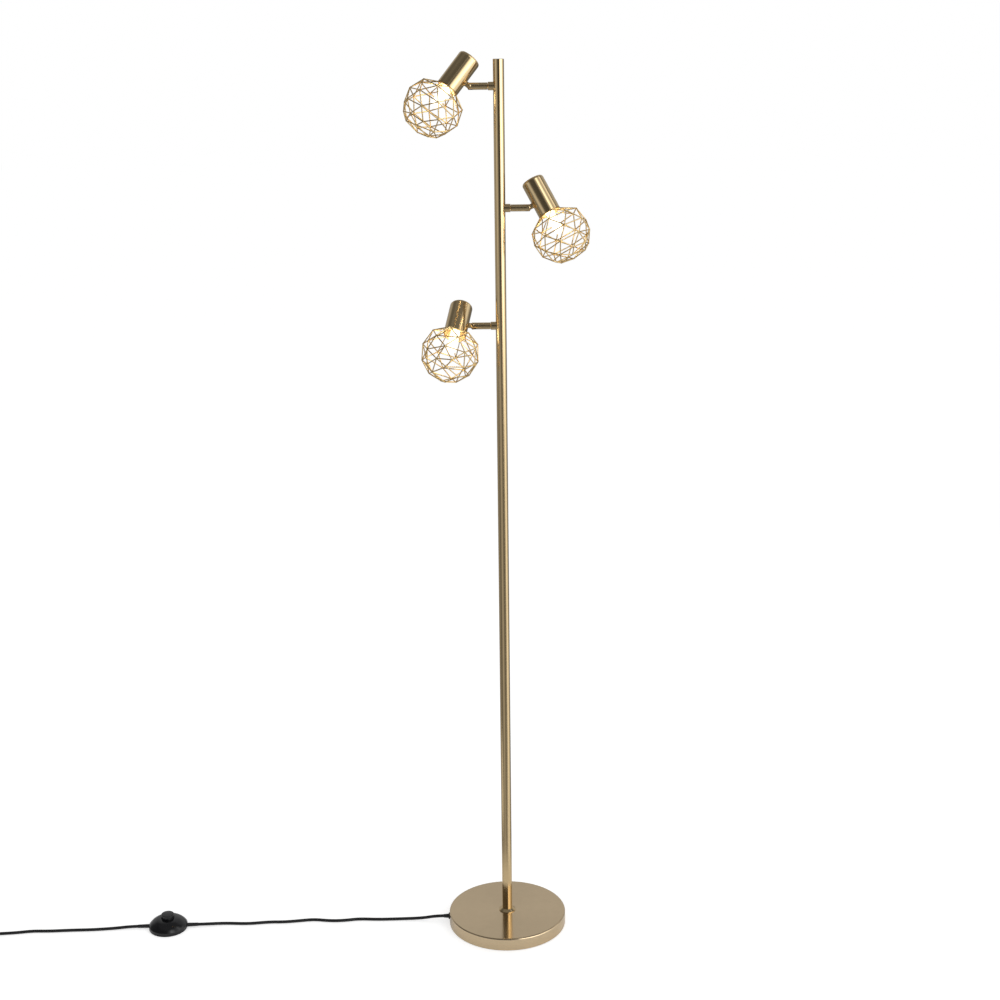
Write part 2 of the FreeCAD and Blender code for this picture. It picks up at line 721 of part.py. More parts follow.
def socket_bracket():
    """Strip bent to an angle: one leg under the lug's nut, the other over the
    lampholder."""
    face = bracket_face()
    inner = face + BRACKET_THICK
    under = socket_top()
    over = under + BRACKET_THICK
    tip = HOLDER_FROM_PIVOT + BRACKET_TIP
    bend = BRACKET_BEND
    inner_bend = BRACKET_BEND - BRACKET_THICK
    profile = outline([
        (face, -BRACKET_FOOT),
        (inner, -BRACKET_FOOT),
        (inner, under - inner_bend),
        arc_middle(inner + inner_bend, under - inner_bend, inner_bend, 135)
        + (inner + inner_bend, under),
        (tip, under),
        (tip, over),
        (face + bend, over),
        arc_middle(face + bend, over - bend, bend, 135) + (face, over - bend),
    ])
    half = BRACKET_WIDTH / 2
    profile.translate(V(0, -half, 0))
    strip = profile.extrude(V(0, BRACKET_WIDTH, 0))
    stud_hole = Part.makeCylinder(LUG_STUD_RADIUS + THREAD_CLEARANCE, 4 * BRACKET_THICK,
                                  V(face - BRACKET_THICK, 0, 0), ALONG_X)
    holes = [stud_hole]
    for offset, radius in ((-SOCKET_SCREW_OFFSET, SOCKET_SCREW_RADIUS + THREAD_CLEARANCE),
                           (0, BRACKET_WIRE_HOLE),
                           (SOCKET_SCREW_OFFSET, SOCKET_SCREW_RADIUS + THREAD_CLEARANCE)):
        holes.append(Part.makeCylinder(radius, 4 * BRACKET_THICK,
                                       V(HOLDER_FROM_PIVOT + offset, 0, under - BRACKET_THICK)))
    return strip.cut(holes)


def lampholder():
    """Ceramic body with a slot for the bulb's flat foot, two pin holes and two
    screw holes."""
    top = socket_top()
    low = top - SOCKET_LENGTH
    edge = SOCKET_EDGE
    body = turned([
        (0, low),
        (SOCKET_RADIUS - edge, low),
        (SOCKET_RADIUS, low + edge),
        (SOCKET_RADIUS, top),
        (0, top),
    ])
    half_length = PINCH_LENGTH / 2 + PINCH_CLEARANCE
    half_thick = PINCH_THICK / 2 + PINCH_CLEARANCE
    slot = box((-half_thick, half_thick), (-half_length, half_length),
               (low - 1, low + SOCKET_SLOT_DEPTH))
    cuts = [slot]
    for side in (-1, 1):
        cuts.append(Part.makeCylinder(PIN_RADIUS + PIN_CLEARANCE, SOCKET_LENGTH,
                                      V(0, side * PIN_SPACING / 2, low)))
        cuts.append(Part.makeCylinder(SOCKET_SCREW_RADIUS + THREAD_CLEARANCE,
                                      SOCKET_SCREW_DEPTH + 1,
                                      V(side * SOCKET_SCREW_OFFSET, 0,
                                        top - SOCKET_SCREW_DEPTH - 1)))
    return moved(body.cut(cuts), x=HOLDER_FROM_PIVOT)


def head_fasteners():
    """Nut on the lug's stud and the two screws of the lampholder."""
    nut = hexagon(LUG_NUT_FLATS, LUG_STUD_RADIUS + THREAD_CLEARANCE, 0, LUG_NUT_THICK)
    nut.rotate(V(0, 0, 0), ALONG_Y, 90)
    pieces = [moved(nut, x=bracket_face() + BRACKET_THICK)]
    over = socket_top() + BRACKET_THICK
    for side in (-1, 1):
        screw = turned([
            (0, over - BRACKET_THICK - SOCKET_SCREW_DEPTH),
            (SOCKET_SCREW_RADIUS, over - BRACKET_THICK - SOCKET_SCREW_DEPTH),
            (SOCKET_SCREW_RADIUS, over),
            (SOCKET_SCREW_HEAD, over),
            (SOCKET_SCREW_HEAD, over + SOCKET_SCREW_HEAD_HEIGHT / 2),
            (SOCKET_SCREW_HEAD / 2, over + SOCKET_SCREW_HEAD_HEIGHT),
            (0, over + SOCKET_SCREW_HEAD_HEIGHT),
        ])
        pieces.append(moved(screw, x=HOLDER_FROM_PIVOT + side * SOCKET_SCREW_OFFSET))
    return Part.makeCompound(pieces)


def bulb_base():
    return MOUTH_Z + BULB_BASE_IN_HOLDER


def bulb_glass():
    """Capsule with a round tip and a flat foot pressed into the lampholder."""
    base = bulb_base()
    tip = base - BULB_LENGTH
    belly = tip + BULB_RADIUS
    shoulder = BULB_SHOULDER
    capsule = turned([
        (0, tip),
        arc_middle(0, belly, BULB_RADIUS, -45) + (BULB_RADIUS, belly),
        (BULB_RADIUS, base - shoulder),
        (BULB_RADIUS - shoulder, base),
        (0, base),
    ])
    foot = box((-PINCH_THICK / 2, PINCH_THICK / 2), (-PINCH_LENGTH / 2, PINCH_LENGTH / 2),
               (base - 1, base + PINCH_DEPTH))
    capsule = capsule.fuse(foot)
    for side in (-1, 1):
        capsule = capsule.cut(Part.makeCylinder(PIN_RADIUS, PIN_LENGTH,
                                                V(0, side * PIN_SPACING / 2,
                                                  base + PINCH_DEPTH - PIN_LENGTH / 2)))
    return moved(capsule, x=HOLDER_FROM_PIVOT)


def bulb_pins():
    foot = bulb_base() + PINCH_DEPTH
    pins = []
    for side in (-1, 1):
        pins.append(Part.makeCylinder(PIN_RADIUS, PIN_LENGTH,
                                      V(HOLDER_FROM_PIVOT, side * PIN_SPACING / 2,
                                        foot - PIN_LENGTH / 2)))
    return Part.makeCompound(pins)


# Wire cage


def on_ball(polar, around):
    """Point on the cage's ball, at an angle from its lowest point and an angle
    about the cup's axis. The cup's mouth is at height zero."""
    polar = math.radians(polar)
    around = math.radians(around)
    flat = CAGE_RADIUS * math.sin(polar)
    return V(flat * math.cos(around), flat * math.sin(around),
             -CAGE_CENTRE_BELOW_MOUTH - CAGE_RADIUS * math.cos(polar))


def cage_wires():
    """End points of every wire: neck to first ring, zigzags between the rings,
    the rings themselves, and the closing square with its braces."""
    step = 360.0 / CAGE_RING_HUBS
    count = CAGE_RING_HUBS
    neck = []
    for hub in range(count):
        angle = math.radians(step * (hub + 0.5))
        neck.append(V(CAGE_NECK_RADIUS * math.cos(angle), CAGE_NECK_RADIUS * math.sin(angle),
                      -CAGE_NECK_DROP))
    rings = [neck]
    for number, polar in enumerate(CAGE_RING_ANGLES):
        turn = 0.5 * (number % 2)
        rings.append([on_ball(polar, step * (hub + turn)) for hub in range(count)])
    wires = []
    for number, (upper, lower) in enumerate(zip(rings, rings[1:])):
        shift = 1 if number % 2 == 0 else -1
        for hub in range(count):
            wires.append((upper[hub], lower[hub]))
            wires.append((upper[hub], lower[(hub + shift) % count]))
            wires.append((lower[hub], lower[(hub + 1) % count]))
    last = rings[-1]
    per_end = count // CAGE_END_HUBS
    end = [on_ball(CAGE_END_ANGLE, 360.0 / CAGE_END_HUBS * hub + CAGE_END_TWIST)
           for hub in range(CAGE_END_HUBS)]
    for hub in range(CAGE_END_HUBS):
        wires.append((end[hub], end[(hub + 1) % CAGE_END_HUBS]))
        for neighbour in (-1, 0, 1):
            wires.append((end[hub], last[(per_end * hub + neighbour) % count]))
    return wires


def wire_bar(start, end):
    """One straight wire, drawn as a six-sided bar with a flat towards the outside."""
    along = unit(end - start)
    outward = (start + end) * 0.5 - V(0, 0, -CAGE_CENTRE_BELOW_MOUTH)
    side = unit(along.cross(outward))
    lift = side.cross(along)
    corners = []
    for number in range(CAGE_WIRE_SIDES):
        angle = 2 * math.pi * (number + 0.5) / CAGE_WIRE_SIDES
        corners.append(start + side * (CAGE_WIRE_RADIUS * math.cos(angle))
                       + lift * (CAGE_WIRE_RADIUS * math.sin(angle)))
    return Part.Face(Part.makePolygon(corners + [corners[0]])).extrude(end - start)


def wire_cage():
    """All wires welded into one piece, with the neck ring and the short sleeve
    that springs into the cup."""
    bars = [wire_bar(start, end) for start, end in cage_wires()]
    neck_ring = Part.makeTorus(CAGE_NECK_RADIUS, CAGE_WIRE_RADIUS, V(0, 0, -CAGE_NECK_DROP))
    sleeve_outer = HOLDER_BORE - CAGE_SLEEVE_CLEARANCE
    sleeve = ring(sleeve_outer, sleeve_outer - CAGE_SLEEVE_WALL,
                  -CAGE_NECK_DROP, CAGE_SLEEVE_RISE)
    cage = bars[0].multiFuse(bars[1:]).removeSplitter()
    return cage.multiFuse([neck_ring, sleeve])


# Mains cord. The points of its two free stretches were chosen to follow the
# photographed curve, and each stretch starts and ends in line with what it meets.


def bushing_tip():
    return V(-BASE_RADIUS - BUSHING_FLANGE_THICK - BUSHING_SPOUT, 0, BUSHING_HEIGHT)


def switch_point(along, height, across=0.0):
    """Point in the foot switch's own frame, +X towards the lamp."""
    angle = math.radians(SWITCH_TURN)
    x = SWITCH_CENTRE[0] + along * math.cos(angle) - across * math.sin(angle)
    y = SWITCH_CENTRE[1] + along * math.sin(angle) + across * math.cos(angle)
    return V(x, y, height)


def base_cord_points():
    floor = CORD_RADIUS
    reach = SWITCH_RADIUS + GUARD_LENGTH
    return [
        bushing_tip(),
        bushing_tip() + V(-CORD_STRAIGHT, 0, 0),
        V(-156, 3.4, 5.2),
        V(-190, 5.6, floor),
        V(-240, 4.0, floor),
        V(-275, 7.2, floor),
        V(-302, 1.6, floor),
        V(-328, 0.8, floor),
        V(-358, 6.8, floor),
        V(-384, 2.6, floor),
        V(-412, -1.4, floor),
        V(-441, -0.6, floor),
        V(-479, -6.6, floor),
        V(-520, -3.0, floor),
        switch_point(reach + CORD_STRAIGHT, GUARD_HEIGHT),
        switch_point(reach, GUARD_HEIGHT),
    ]


def coil_centre():
    return V(COIL_CENTRE[0], COIL_CENTRE[1], 0)


def coil_point(turns):
    """Point and direction of the wound cord, that many turns after its start:
    inwards on the floor, up a layer in half a turn, and outwards again."""
    pitch = 2 * CORD_RADIUS + COIL_GAP
    outer = COIL_MEAN_RADIUS + pitch * COIL_TURNS / 2
    inner = outer - pitch * COIL_TURNS
    share = min(max((turns - COIL_TURNS) / COIL_CLIMB, 0.0), 1.0)
    if turns <= COIL_TURNS:
        radius = outer - pitch * turns
    elif turns >= COIL_TURNS + COIL_CLIMB:
        radius = inner + pitch * (turns - COIL_TURNS - COIL_CLIMB)
    else:
        radius = inner - pitch * COIL_CLIMB / math.pi * math.sin(math.pi * share)
    slope = -pitch * math.cos(math.pi * share)
    rise = pitch * (3 - 2 * share) * share ** 2
    rise_rate = pitch * 6 * share * (1 - share) / COIL_CLIMB
    angle = math.radians(COIL_START_ANGLE) - 2 * math.pi * turns
    outward = V(math.cos(angle), math.sin(angle), 0)
    forward = V(math.sin(angle), -math.cos(angle), 0)
    point = coil_centre() + outward * radius + V(0, 0, CORD_RADIUS + rise)
    heading = forward * (2 * math.pi * radius) + outward * slope + V(0, 0, rise_rate)
    return point, unit(heading)


def biarc(start, start_heading, end, end_heading):
    """Two arcs that join smoothly and leave each end along its heading."""
    chord = end - start
    both = start_heading + end_heading
    cross = 2 * (1 - start_heading.dot(end_heading))
    along = chord.dot(both)
    reach = (-along + math.sqrt(along ** 2 + cross * chord.dot(chord))) / cross
    joint = (start + start_heading * reach + end - end_heading * reach) * 0.5
    edges = []
    for first, second, heading in ((start, joint, start_heading), (end, joint, -end_heading)):
        leg = second - first
        normal = unit(heading.cross(leg).cross(heading))
        radius = leg.dot(leg) / (2 * leg.dot(normal))
        centre = first + normal * radius
        middle = centre + unit((first + second) * 0.5 - centre) * radius
        if first is start:
            edges.append(Part.Arc(first, middle, second).toShape())
        else:
            edges.append(Part.Arc(second, middle, first).toShape())
    return edges


def coil_route():
    quarters = round(4 * (2 * COIL_TURNS + COIL_CLIMB))
    edges = []
    for quarter in range(quarters):
        start, start_heading = coil_point(quarter / 4)
        end, end_heading = coil_point((quarter + 1) / 4)
        edges += biarc(start, start_heading, end, end_heading)
    return Part.Wire(edges)


def coil_ends():
    start, start_heading = coil_point(0)
    end, end_heading = coil_point(2 * COIL_TURNS + COIL_CLIMB)
    return start, start_heading, end, end_heading


def plug_rear():
    """Where the cord enters the plug, which lies on the floor in line with -X."""
    end, heading = coil_ends()[2:]
    return V(end.x - COIL_TAIL - 2 * CORD_RADIUS, end.y + heading.y * COIL_TAIL,
             PLUG_BODY_HEIGHT / 2)


def cord_coil():
    """The whole winding, from a short straight on the floor to the plug."""
    start, start_heading, end, end_heading = coil_ends()
    straight = 2 * CORD_RADIUS
    rear = plug_rear()
    landing = rear + ALONG_X * straight
    edges = [Part.LineSegment(start - start_heading * straight, start).toShape()]
    edges += list(coil_route().OrderedEdges)
    edges += biarc(end, end_heading, landing, -ALONG_X)
    edges.append(Part.LineSegment(landing, rear).toShape())
    route = Part.Wire(edges)
    return route, tube(route, CORD_RADIUS)


def report_coil(route, solid):
    """Prints the coil's length and the least gap between its turns."""
    samples = []
    travelled = 0.0
    for edge in route.OrderedEdges:
        count = max(2, int(edge.Length / 2.5))
        for number in range(count):
            share = number / count
            span = edge.LastParameter - edge.FirstParameter
            point = edge.valueAt(edge.FirstParameter + span * share)
            samples.append((travelled + share * edge.Length, point))
        travelled += edge.Length
    least = min((second - first).Length
                for place, first in samples
                for other, second in samples
                if other - place > 12 * CORD_RADIUS)
    swept = route.Length * math.pi * CORD_RADIUS ** 2
    print("coil: length %.0f mm, least gap between turns %.2f mm, volume ratio %.4f"
          % (route.Length, least - 2 * CORD_RADIUS, solid.Volume / swept))


def switch_cord_points():
    floor = CORD_RADIUS
    reach = -SWITCH_RADIUS - GUARD_LENGTH
    start, heading = coil_ends()[:2]
    meet = start - heading * (2 * CORD_RADIUS)
    return [
        switch_point(reach, GUARD_HEIGHT),
        switch_point(reach - CORD_STRAIGHT, GUARD_HEIGHT),
        V(-724, -17.6, floor),
        V(-762, -21.6, floor),
        V(-803, -22.4, floor),
        V(-842, -25.0, floor),
        V(-872, -23.8, floor),
        V(-902, -29.6, floor),
        V(-936, -32.4, floor),
        meet - heading * COIL_APPROACH,
        meet,
    ]


# Plug, drawn with the cord's entry at the origin and its pins towards -X


def plug_body():
    """Flat body that widens from its neck, with a tapered tail moulded on."""
    half = PLUG_BODY_HEIGHT / 2
    neck = PLUG_TAIL_LENGTH
    shoulder = neck + PLUG_SHOULDER
    front = neck + PLUG_BODY_LENGTH
    corners = [V(-neck, -PLUG_NECK_WIDTH / 2, -half), V(-shoulder, -PLUG_BODY_WIDTH / 2, -half),
               V(-front, -PLUG_BODY_WIDTH / 2, -half), V(-front, PLUG_BODY_WIDTH / 2, -half),
               V(-shoulder, PLUG_BODY_WIDTH / 2, -half), V(-neck, PLUG_NECK_WIDTH / 2, -half)]
    body = Part.Face(Part.makePolygon(corners + [corners[0]])).extrude(UP * (2 * half))
    upright = [edge for edge in body.Edges
               if abs(edge.tangentAt(edge.FirstParameter).z) > 0.5]
    body = body.makeFillet(PLUG_CORNER, upright)
    flat = [edge for edge in body.Edges
            if abs(abs(edge.CenterOfMass.z) - half) < 0.01]
    body = body.makeFillet(PLUG_EDGE, flat)
    tail = turned_on_x([
        (0, -neck - PLUG_SHOULDER / 2),
        (PLUG_TAIL_RADIUS, -neck - PLUG_SHOULDER / 2),
        (PLUG_TAIL_RADIUS, -neck),
        (PLUG_TAIL_TIP_RADIUS, 0),
        (0, 0),
    ])
    body = body.fuse(tail)
    for side in (-1, 1):
        body = body.cut(Part.makeCylinder(PLUG_PIN_RADIUS, PLUG_PIN_SOCKET,
                                          V(-front, side * PLUG_PIN_SPACING / 2, 0), ALONG_X))
    return at_plug(body)


def plug_pins():
    front = PLUG_TAIL_LENGTH + PLUG_BODY_LENGTH
    pin = turned_on_x([
        (0, -front - PLUG_PIN_LENGTH),
        (PLUG_PIN_TIP_RADIUS, -front - PLUG_PIN_LENGTH),
        (PLUG_PIN_RADIUS, -front - PLUG_PIN_LENGTH + PLUG_PIN_RADIUS),
        (PLUG_PIN_RADIUS, -front + PLUG_PIN_SOCKET),
        (0, -front + PLUG_PIN_SOCKET),
    ])
    pins = [moved(pin, y=side * PLUG_PIN_SPACING / 2) for side in (-1, 1)]
    return at_plug(Part.makeCompound(pins))


def at_plug(shape):
    rear = plug_rear()
    return moved(shape, rear.x, rear.y, rear.z)


# Foot switch, drawn at the origin with the lamp towards +X


def at_switch(shape):
    copy = shape.copy()
    copy.rotate(V(0, 0, 0), UP, SWITCH_TURN)
    return moved(copy, SWITCH_CENTRE[0], SWITCH_CENTRE[1])


def boss_places():
    return round_places(BOSS_CIRCLE, BOSS_COUNT, BOSS_FIRST_ANGLE)


def switch_housing():
    hole = BUTTON_RADIUS + BUTTON_CLEARANCE
    outer = SWITCH_RADIUS
    inner = SWITCH_RADIUS - SWITCH_WALL
    top = SWITCH_DOME_TOP
    bulge_x = hole + (outer - hole) * DOME_BULGE_OUT
    bulge_z = SWITCH_RIM_HEIGHT + (top - SWITCH_RIM_HEIGHT) * DOME_BULGE_UP
    wall_out = SWITCH_WALL * DOME_WALL_SLOPE[0]
    wall_up = SWITCH_WALL * DOME_WALL_SLOPE[1]
    shell = turned([
        (hole, top),
        (bulge_x, bulge_z, outer, SWITCH_RIM_HEIGHT),
        (outer, SWITCH_LIFT),
        (inner, SWITCH_LIFT),
        (inner, SWITCH_RIM_HEIGHT - SWITCH_WALL / 2),
        (bulge_x - wall_out, bulge_z - wall_up, hole, top - SWITCH_WALL),
    ])
    bosses = [Part.makeCylinder(BOSS_RADIUS, BOSS_TOP - PLATE_THICK, V(x, y, PLATE_THICK))
              for x, y in boss_places()]
    shell = shell.fuse(bosses)
    cuts = [Part.makeCylinder(BOSS_SCREW_RADIUS + THREAD_CLEARANCE, BOSS_SCREW_DEPTH + BOSS_SCREW_POINT,
                              V(x, y, PLATE_THICK))
            for x, y in boss_places()]
    for side in (-1, 1):
        cuts.append(Part.makeCylinder(GUARD_RADIUS + GUARD_CLEARANCE, SWITCH_RADIUS,
                                      V(side * (SWITCH_RADIUS - 2 * SWITCH_WALL), 0, GUARD_HEIGHT),
                                      ALONG_X * side))
    return at_switch(shell.cut(cuts))


def switch_base():
    """Base plate that the housing is screwed to, with the feet of the screws sunk in."""
    flange = SWITCH_RADIUS - PLATE_INSET
    step = SWITCH_RADIUS - SWITCH_WALL - PLATE_STEP_CLEARANCE
    plate = turned([
        (0, 0),
        (flange, 0),
        (flange, SWITCH_LIFT),
        (step, SWITCH_LIFT),
        (step, PLATE_THICK),
        (0, PLATE_THICK),
    ])
    cuts = []
    for x, y in boss_places():
        cuts.append(Part.makeCylinder(BOSS_SCREW_RADIUS + THREAD_CLEARANCE, PLATE_THICK + 1,
                                      V(x, y, 0)))
        cuts.append(Part.makeCylinder(BOSS_SCREW_HEAD + HOLE_CLEARANCE,
                                      BOSS_SCREW_HEAD_HEIGHT + BOSS_SCREW_RECESS + 1,
                                      V(x, y, -1)))
    for side in (-1, 1):
        cuts.append(Part.makeCylinder(GUARD_RADIUS + GUARD_CLEARANCE, SWITCH_RADIUS,
                                      V(side * (SWITCH_RADIUS - SWITCH_WALL - GUARD_INSIDE - 1),
                                        0, GUARD_HEIGHT), ALONG_X * side))
    return at_switch(plate.cut(cuts))


def switch_screws():
    head_top = BOSS_SCREW_RECESS + BOSS_SCREW_HEAD_HEIGHT
    screw = turned([
        (0, BOSS_SCREW_RECESS),
        (BOSS_SCREW_HEAD, BOSS_SCREW_RECESS),
        (BOSS_SCREW_HEAD, head_top),
        (BOSS_SCREW_RADIUS, head_top),
        (BOSS_SCREW_RADIUS, PLATE_THICK + BOSS_SCREW_DEPTH - BOSS_SCREW_POINT),
        (0, PLATE_THICK + BOSS_SCREW_DEPTH),
    ])
    screws = [moved(screw, x, y) for x, y in boss_places()]
    return at_switch(Part.makeCompound(screws))


FLANGE_TOP = SWITCH_DOME_TOP - SWITCH_WALL - BUTTON_FLANGE_GAP
FLANGE_LOW = FLANGE_TOP - BUTTON_FLANGE_THICK
BLOCK_TOP = FLANGE_LOW - BUTTON_TRAVEL - BUTTON_SPARE_TRAVEL
SPRING_LOW = BLOCK_TOP - SPRING_SEAT_DEPTH + SPRING_END_GAP
BUTTON_INSIDE_TOP = BUTTON_TOP - BUTTON_WALL


def switch_block():
    """Contact block on the base plate, low enough for the button's travel, with the
    seat of its spring."""
    block = box((-BLOCK_LENGTH / 2, BLOCK_LENGTH / 2), (-BLOCK_WIDTH / 2, BLOCK_WIDTH / 2),
                (PLATE_THICK, BLOCK_TOP))
    upright = [edge for edge in block.Edges
               if abs(edge.tangentAt(edge.FirstParameter).z) > 0.5]
    block = block.makeFillet(BLOCK_CORNER, upright)
    seat = Part.makeCylinder(SPRING_RADIUS + SPRING_WIRE + SPRING_SEAT_CLEARANCE,
                             SPRING_SEAT_DEPTH + 1, V(0, 0, BLOCK_TOP - SPRING_SEAT_DEPTH))
    return at_switch(block.cut(seat))


def switch_spring():
    height = BUTTON_INSIDE_TOP - SPRING_END_GAP - SPRING_LOW - SPRING_WIRE
    helix = Part.makeHelix(height / SPRING_TURNS, height, SPRING_RADIUS)
    half = SPRING_WIRE / 2
    corners = [V(SPRING_RADIUS - half, 0, -half), V(SPRING_RADIUS + half, 0, -half),
               V(SPRING_RADIUS + half, 0, half), V(SPRING_RADIUS - half, 0, half)]
    section = Part.makePolygon(corners + [corners[0]])
    spring = Part.Wire(helix).makePipeShell([section], True, True)
    return at_switch(moved(spring, z=SPRING_LOW + half))


def switch_button():
    """Round cap with a flange that stops under the housing, hollow for the spring."""
    flange = BUTTON_RADIUS + BUTTON_FLANGE_WIDTH
    bore = BUTTON_RADIUS - BUTTON_WALL
    shoulder = BUTTON_TOP - BUTTON_DOME
    cap = turned([
        (bore, FLANGE_LOW),
        (flange, FLANGE_LOW),
        (flange, FLANGE_TOP),
        (BUTTON_RADIUS, FLANGE_TOP),
        (BUTTON_RADIUS, shoulder - BUTTON_EDGE),
        (BUTTON_RADIUS - BUTTON_EDGE, shoulder),
        cap_middle(BUTTON_RADIUS - BUTTON_EDGE, shoulder, BUTTON_DOME) + (0, BUTTON_TOP),
        (0, BUTTON_INSIDE_TOP),
        (bore, BUTTON_INSIDE_TOP),
    ])
    return at_switch(cap)


def switch_guards():
    """Tapered rubber guards that hold the cord in both sides of the switch."""
    wall = SWITCH_RADIUS
    inner_wall = SWITCH_RADIUS - SWITCH_WALL
    guards = []
    for side in (-1, 1):
        guard = turned_on_x([
            (0, inner_wall - GUARD_INSIDE),
            (GUARD_RADIUS, inner_wall - GUARD_INSIDE),
            (GUARD_RADIUS, wall),
            (GUARD_TIP_RADIUS, wall + GUARD_LENGTH),
            (0, wall + GUARD_LENGTH),
        ])
        if side < 0:
            guard.rotate(V(0, 0, 0), UP, 180)
        guards.append(moved(guard, z=GUARD_HEIGHT))
    return at_switch(Part.makeCompound(guards))


# Assembly


def on_pole(shape, index, swivel=0.0):
    """Puts a shape from the arm's frame on its side of the pole, at its height."""
    copy = shape.copy()
    if ARM_SIDES[index] < 0:
        copy.rotate(V(0, 0, 0), UP, 180)
    copy.rotate(V(0, 0, 0), ALONG_X, -swivel)
    return moved(copy, z=arm_height(index))


def on_arm(shape, index):
    return on_pole(shape, index, HEAD_SWIVEL[index])


def on_head(shape, index):
    """Puts a shape from the lamp head's frame on its arm, tilted."""
    copy = shape.copy()
    copy.rotate(V(0, 0, 0), ALONG_Y, -HEAD_TILT[index])
    return on_arm(moved(copy, x=PIVOT_REACH), index)


def arm_pieces():
    pieces = {}
    collars = []
    for index, side in enumerate(ARM_SIDES):
        number = index + 1
        collars.append(on_pole(arm_collar(), index))
        pieces["arm_%d" % number] = on_arm(arm_rod(), index)
        pieces["arm_clip_%d" % number] = on_arm(arm_clip(), index)
        pieces["knuckle_screw_%d" % number] = on_arm(knuckle_screw(-side), index)
    pieces["arm_collars"] = Part.makeCompound(collars)
    return pieces


def head_pieces():
    makers = {
        "lug": lug(),
        "holder": holder(),
        "socket_bracket": socket_bracket(),
        "lampholder": lampholder(),
        "head_fasteners": head_fasteners(),
        "bulb_glass": bulb_glass(),
        "bulb_pins": bulb_pins(),
    }
    cage = wire_cage()
    pieces = {}
    for index, side in enumerate(ARM_SIDES):
        number = index + 1
        for name, shape in makers.items():
            pieces["%s_%d" % (name, number)] = on_head(shape, index)
        turned_cage = cage.copy()
        turned_cage.rotate(V(0, 0, 0), UP, -side * CAGE_TURN[index])
        pieces["wire_cage_%d" % number] = on_head(moved(turned_cage, HOLDER_FROM_PIVOT, 0,
                                                        MOUTH_Z), index)
    return pieces


def base_pieces():
    return {
        "base_cover": base_cover(),
        "base_weight": base_weight(),
        "base_pad": base_pad(),
        "base_nipple": base_nipple(),
        "base_nut": base_nut(),
        "foot_collar": foot_collar(),
        "foot_plug": foot_plug(),
        "cable_bushing": cable_bushing(),
        "lower_pole": pole_tube(BASE_TOP, LOWER_SEAM),
        "middle_pole": pole_tube(LOWER_SEAM, UPPER_SEAM),
        "upper_pole": upper_pole(),
        "pole_joiners": pole_joiners(),
        "pole_cap": pole_cap(),
        "inner_lead": inner_lead(),
    }


def cord_pieces():
    pieces = {}
    for name, points in (("base_cord", base_cord_points()),
                         ("switch_cord", switch_cord_points())):
        route, radii = rounded_route(points)
        pieces[name] = tube(route, CORD_RADIUS)
        report_tube(name, route, CORD_RADIUS, pieces[name], radii)
    coil_line, coil = cord_coil()
    report_coil(coil_line, coil)
    pieces["cord_coil"] = coil
    pieces["switch_housing"] = switch_housing()
    pieces["switch_base"] = switch_base()
    pieces["switch_screws"] = switch_screws()
    pieces["switch_block"] = switch_block()
    pieces["switch_spring"] = switch_spring()
    pieces["switch_guards"] = switch_guards()
    pieces["switch_button"] = switch_button()
    pieces["plug_body"] = plug_body()
    pieces["plug_pins"] = plug_pins()
    return pieces


os.makedirs("parts", exist_ok=True)
lamp = {}
lamp.update(base_pieces())
lamp.update(arm_pieces())
lamp.update(head_pieces())
lamp.update(cord_pieces())
for name, shape in lamp.items():
    shape.exportStep("parts/%s.step" % name)
print("%d pieces written" % len(lamp))
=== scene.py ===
import bmesh
import bpy
from math import cos, pi, radians, sin
from mathutils import Matrix, Vector


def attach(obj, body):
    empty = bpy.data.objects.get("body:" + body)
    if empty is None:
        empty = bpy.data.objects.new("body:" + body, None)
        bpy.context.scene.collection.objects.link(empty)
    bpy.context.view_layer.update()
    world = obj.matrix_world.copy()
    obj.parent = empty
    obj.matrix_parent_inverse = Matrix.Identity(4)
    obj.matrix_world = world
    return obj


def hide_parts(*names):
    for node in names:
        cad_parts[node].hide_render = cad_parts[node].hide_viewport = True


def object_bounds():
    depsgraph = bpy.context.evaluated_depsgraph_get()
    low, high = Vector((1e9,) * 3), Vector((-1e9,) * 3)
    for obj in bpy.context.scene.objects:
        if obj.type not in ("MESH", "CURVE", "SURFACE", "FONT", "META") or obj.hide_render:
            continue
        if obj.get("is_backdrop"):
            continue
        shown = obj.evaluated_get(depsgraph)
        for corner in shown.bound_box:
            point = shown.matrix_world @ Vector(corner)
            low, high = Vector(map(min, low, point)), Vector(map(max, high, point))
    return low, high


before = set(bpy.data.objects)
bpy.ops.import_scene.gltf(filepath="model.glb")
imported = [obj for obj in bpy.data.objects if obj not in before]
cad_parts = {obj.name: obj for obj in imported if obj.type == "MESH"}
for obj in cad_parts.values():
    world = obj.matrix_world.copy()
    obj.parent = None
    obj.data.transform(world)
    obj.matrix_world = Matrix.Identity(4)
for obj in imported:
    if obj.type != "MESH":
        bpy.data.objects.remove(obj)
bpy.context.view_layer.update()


# Viewpoint. The photograph was taken from 2.7 m in front of the pole and about
# as high as its top, looking down at 15.5 degrees, with the camera turned a
# little clockwise.

CAMERA_PLACE = Vector((-0.00515, -2.725, 1.563))
CAMERA_TILT = radians(74.5)
CAMERA_ROLL = radians(-0.64)
CAMERA_LENS = 59.22
SENSOR_WIDTH = 36.0
FARTHEST_SEEN = 60.0

camera_data = bpy.data.cameras.new("camera")
camera_data.sensor_width = SENSOR_WIDTH
camera_data.lens = CAMERA_LENS
camera_data.clip_end = FARTHEST_SEEN
camera = bpy.data.objects.new("camera", camera_data)
bpy.context.scene.collection.objects.link(camera)
camera.matrix_world = (Matrix.Translation(CAMERA_PLACE)
                       @ Matrix.Rotation(CAMERA_TILT, 4, "X")
                       @ Matrix.Rotation(CAMERA_ROLL, 4, "Z"))
bpy.context.scene.camera = camera


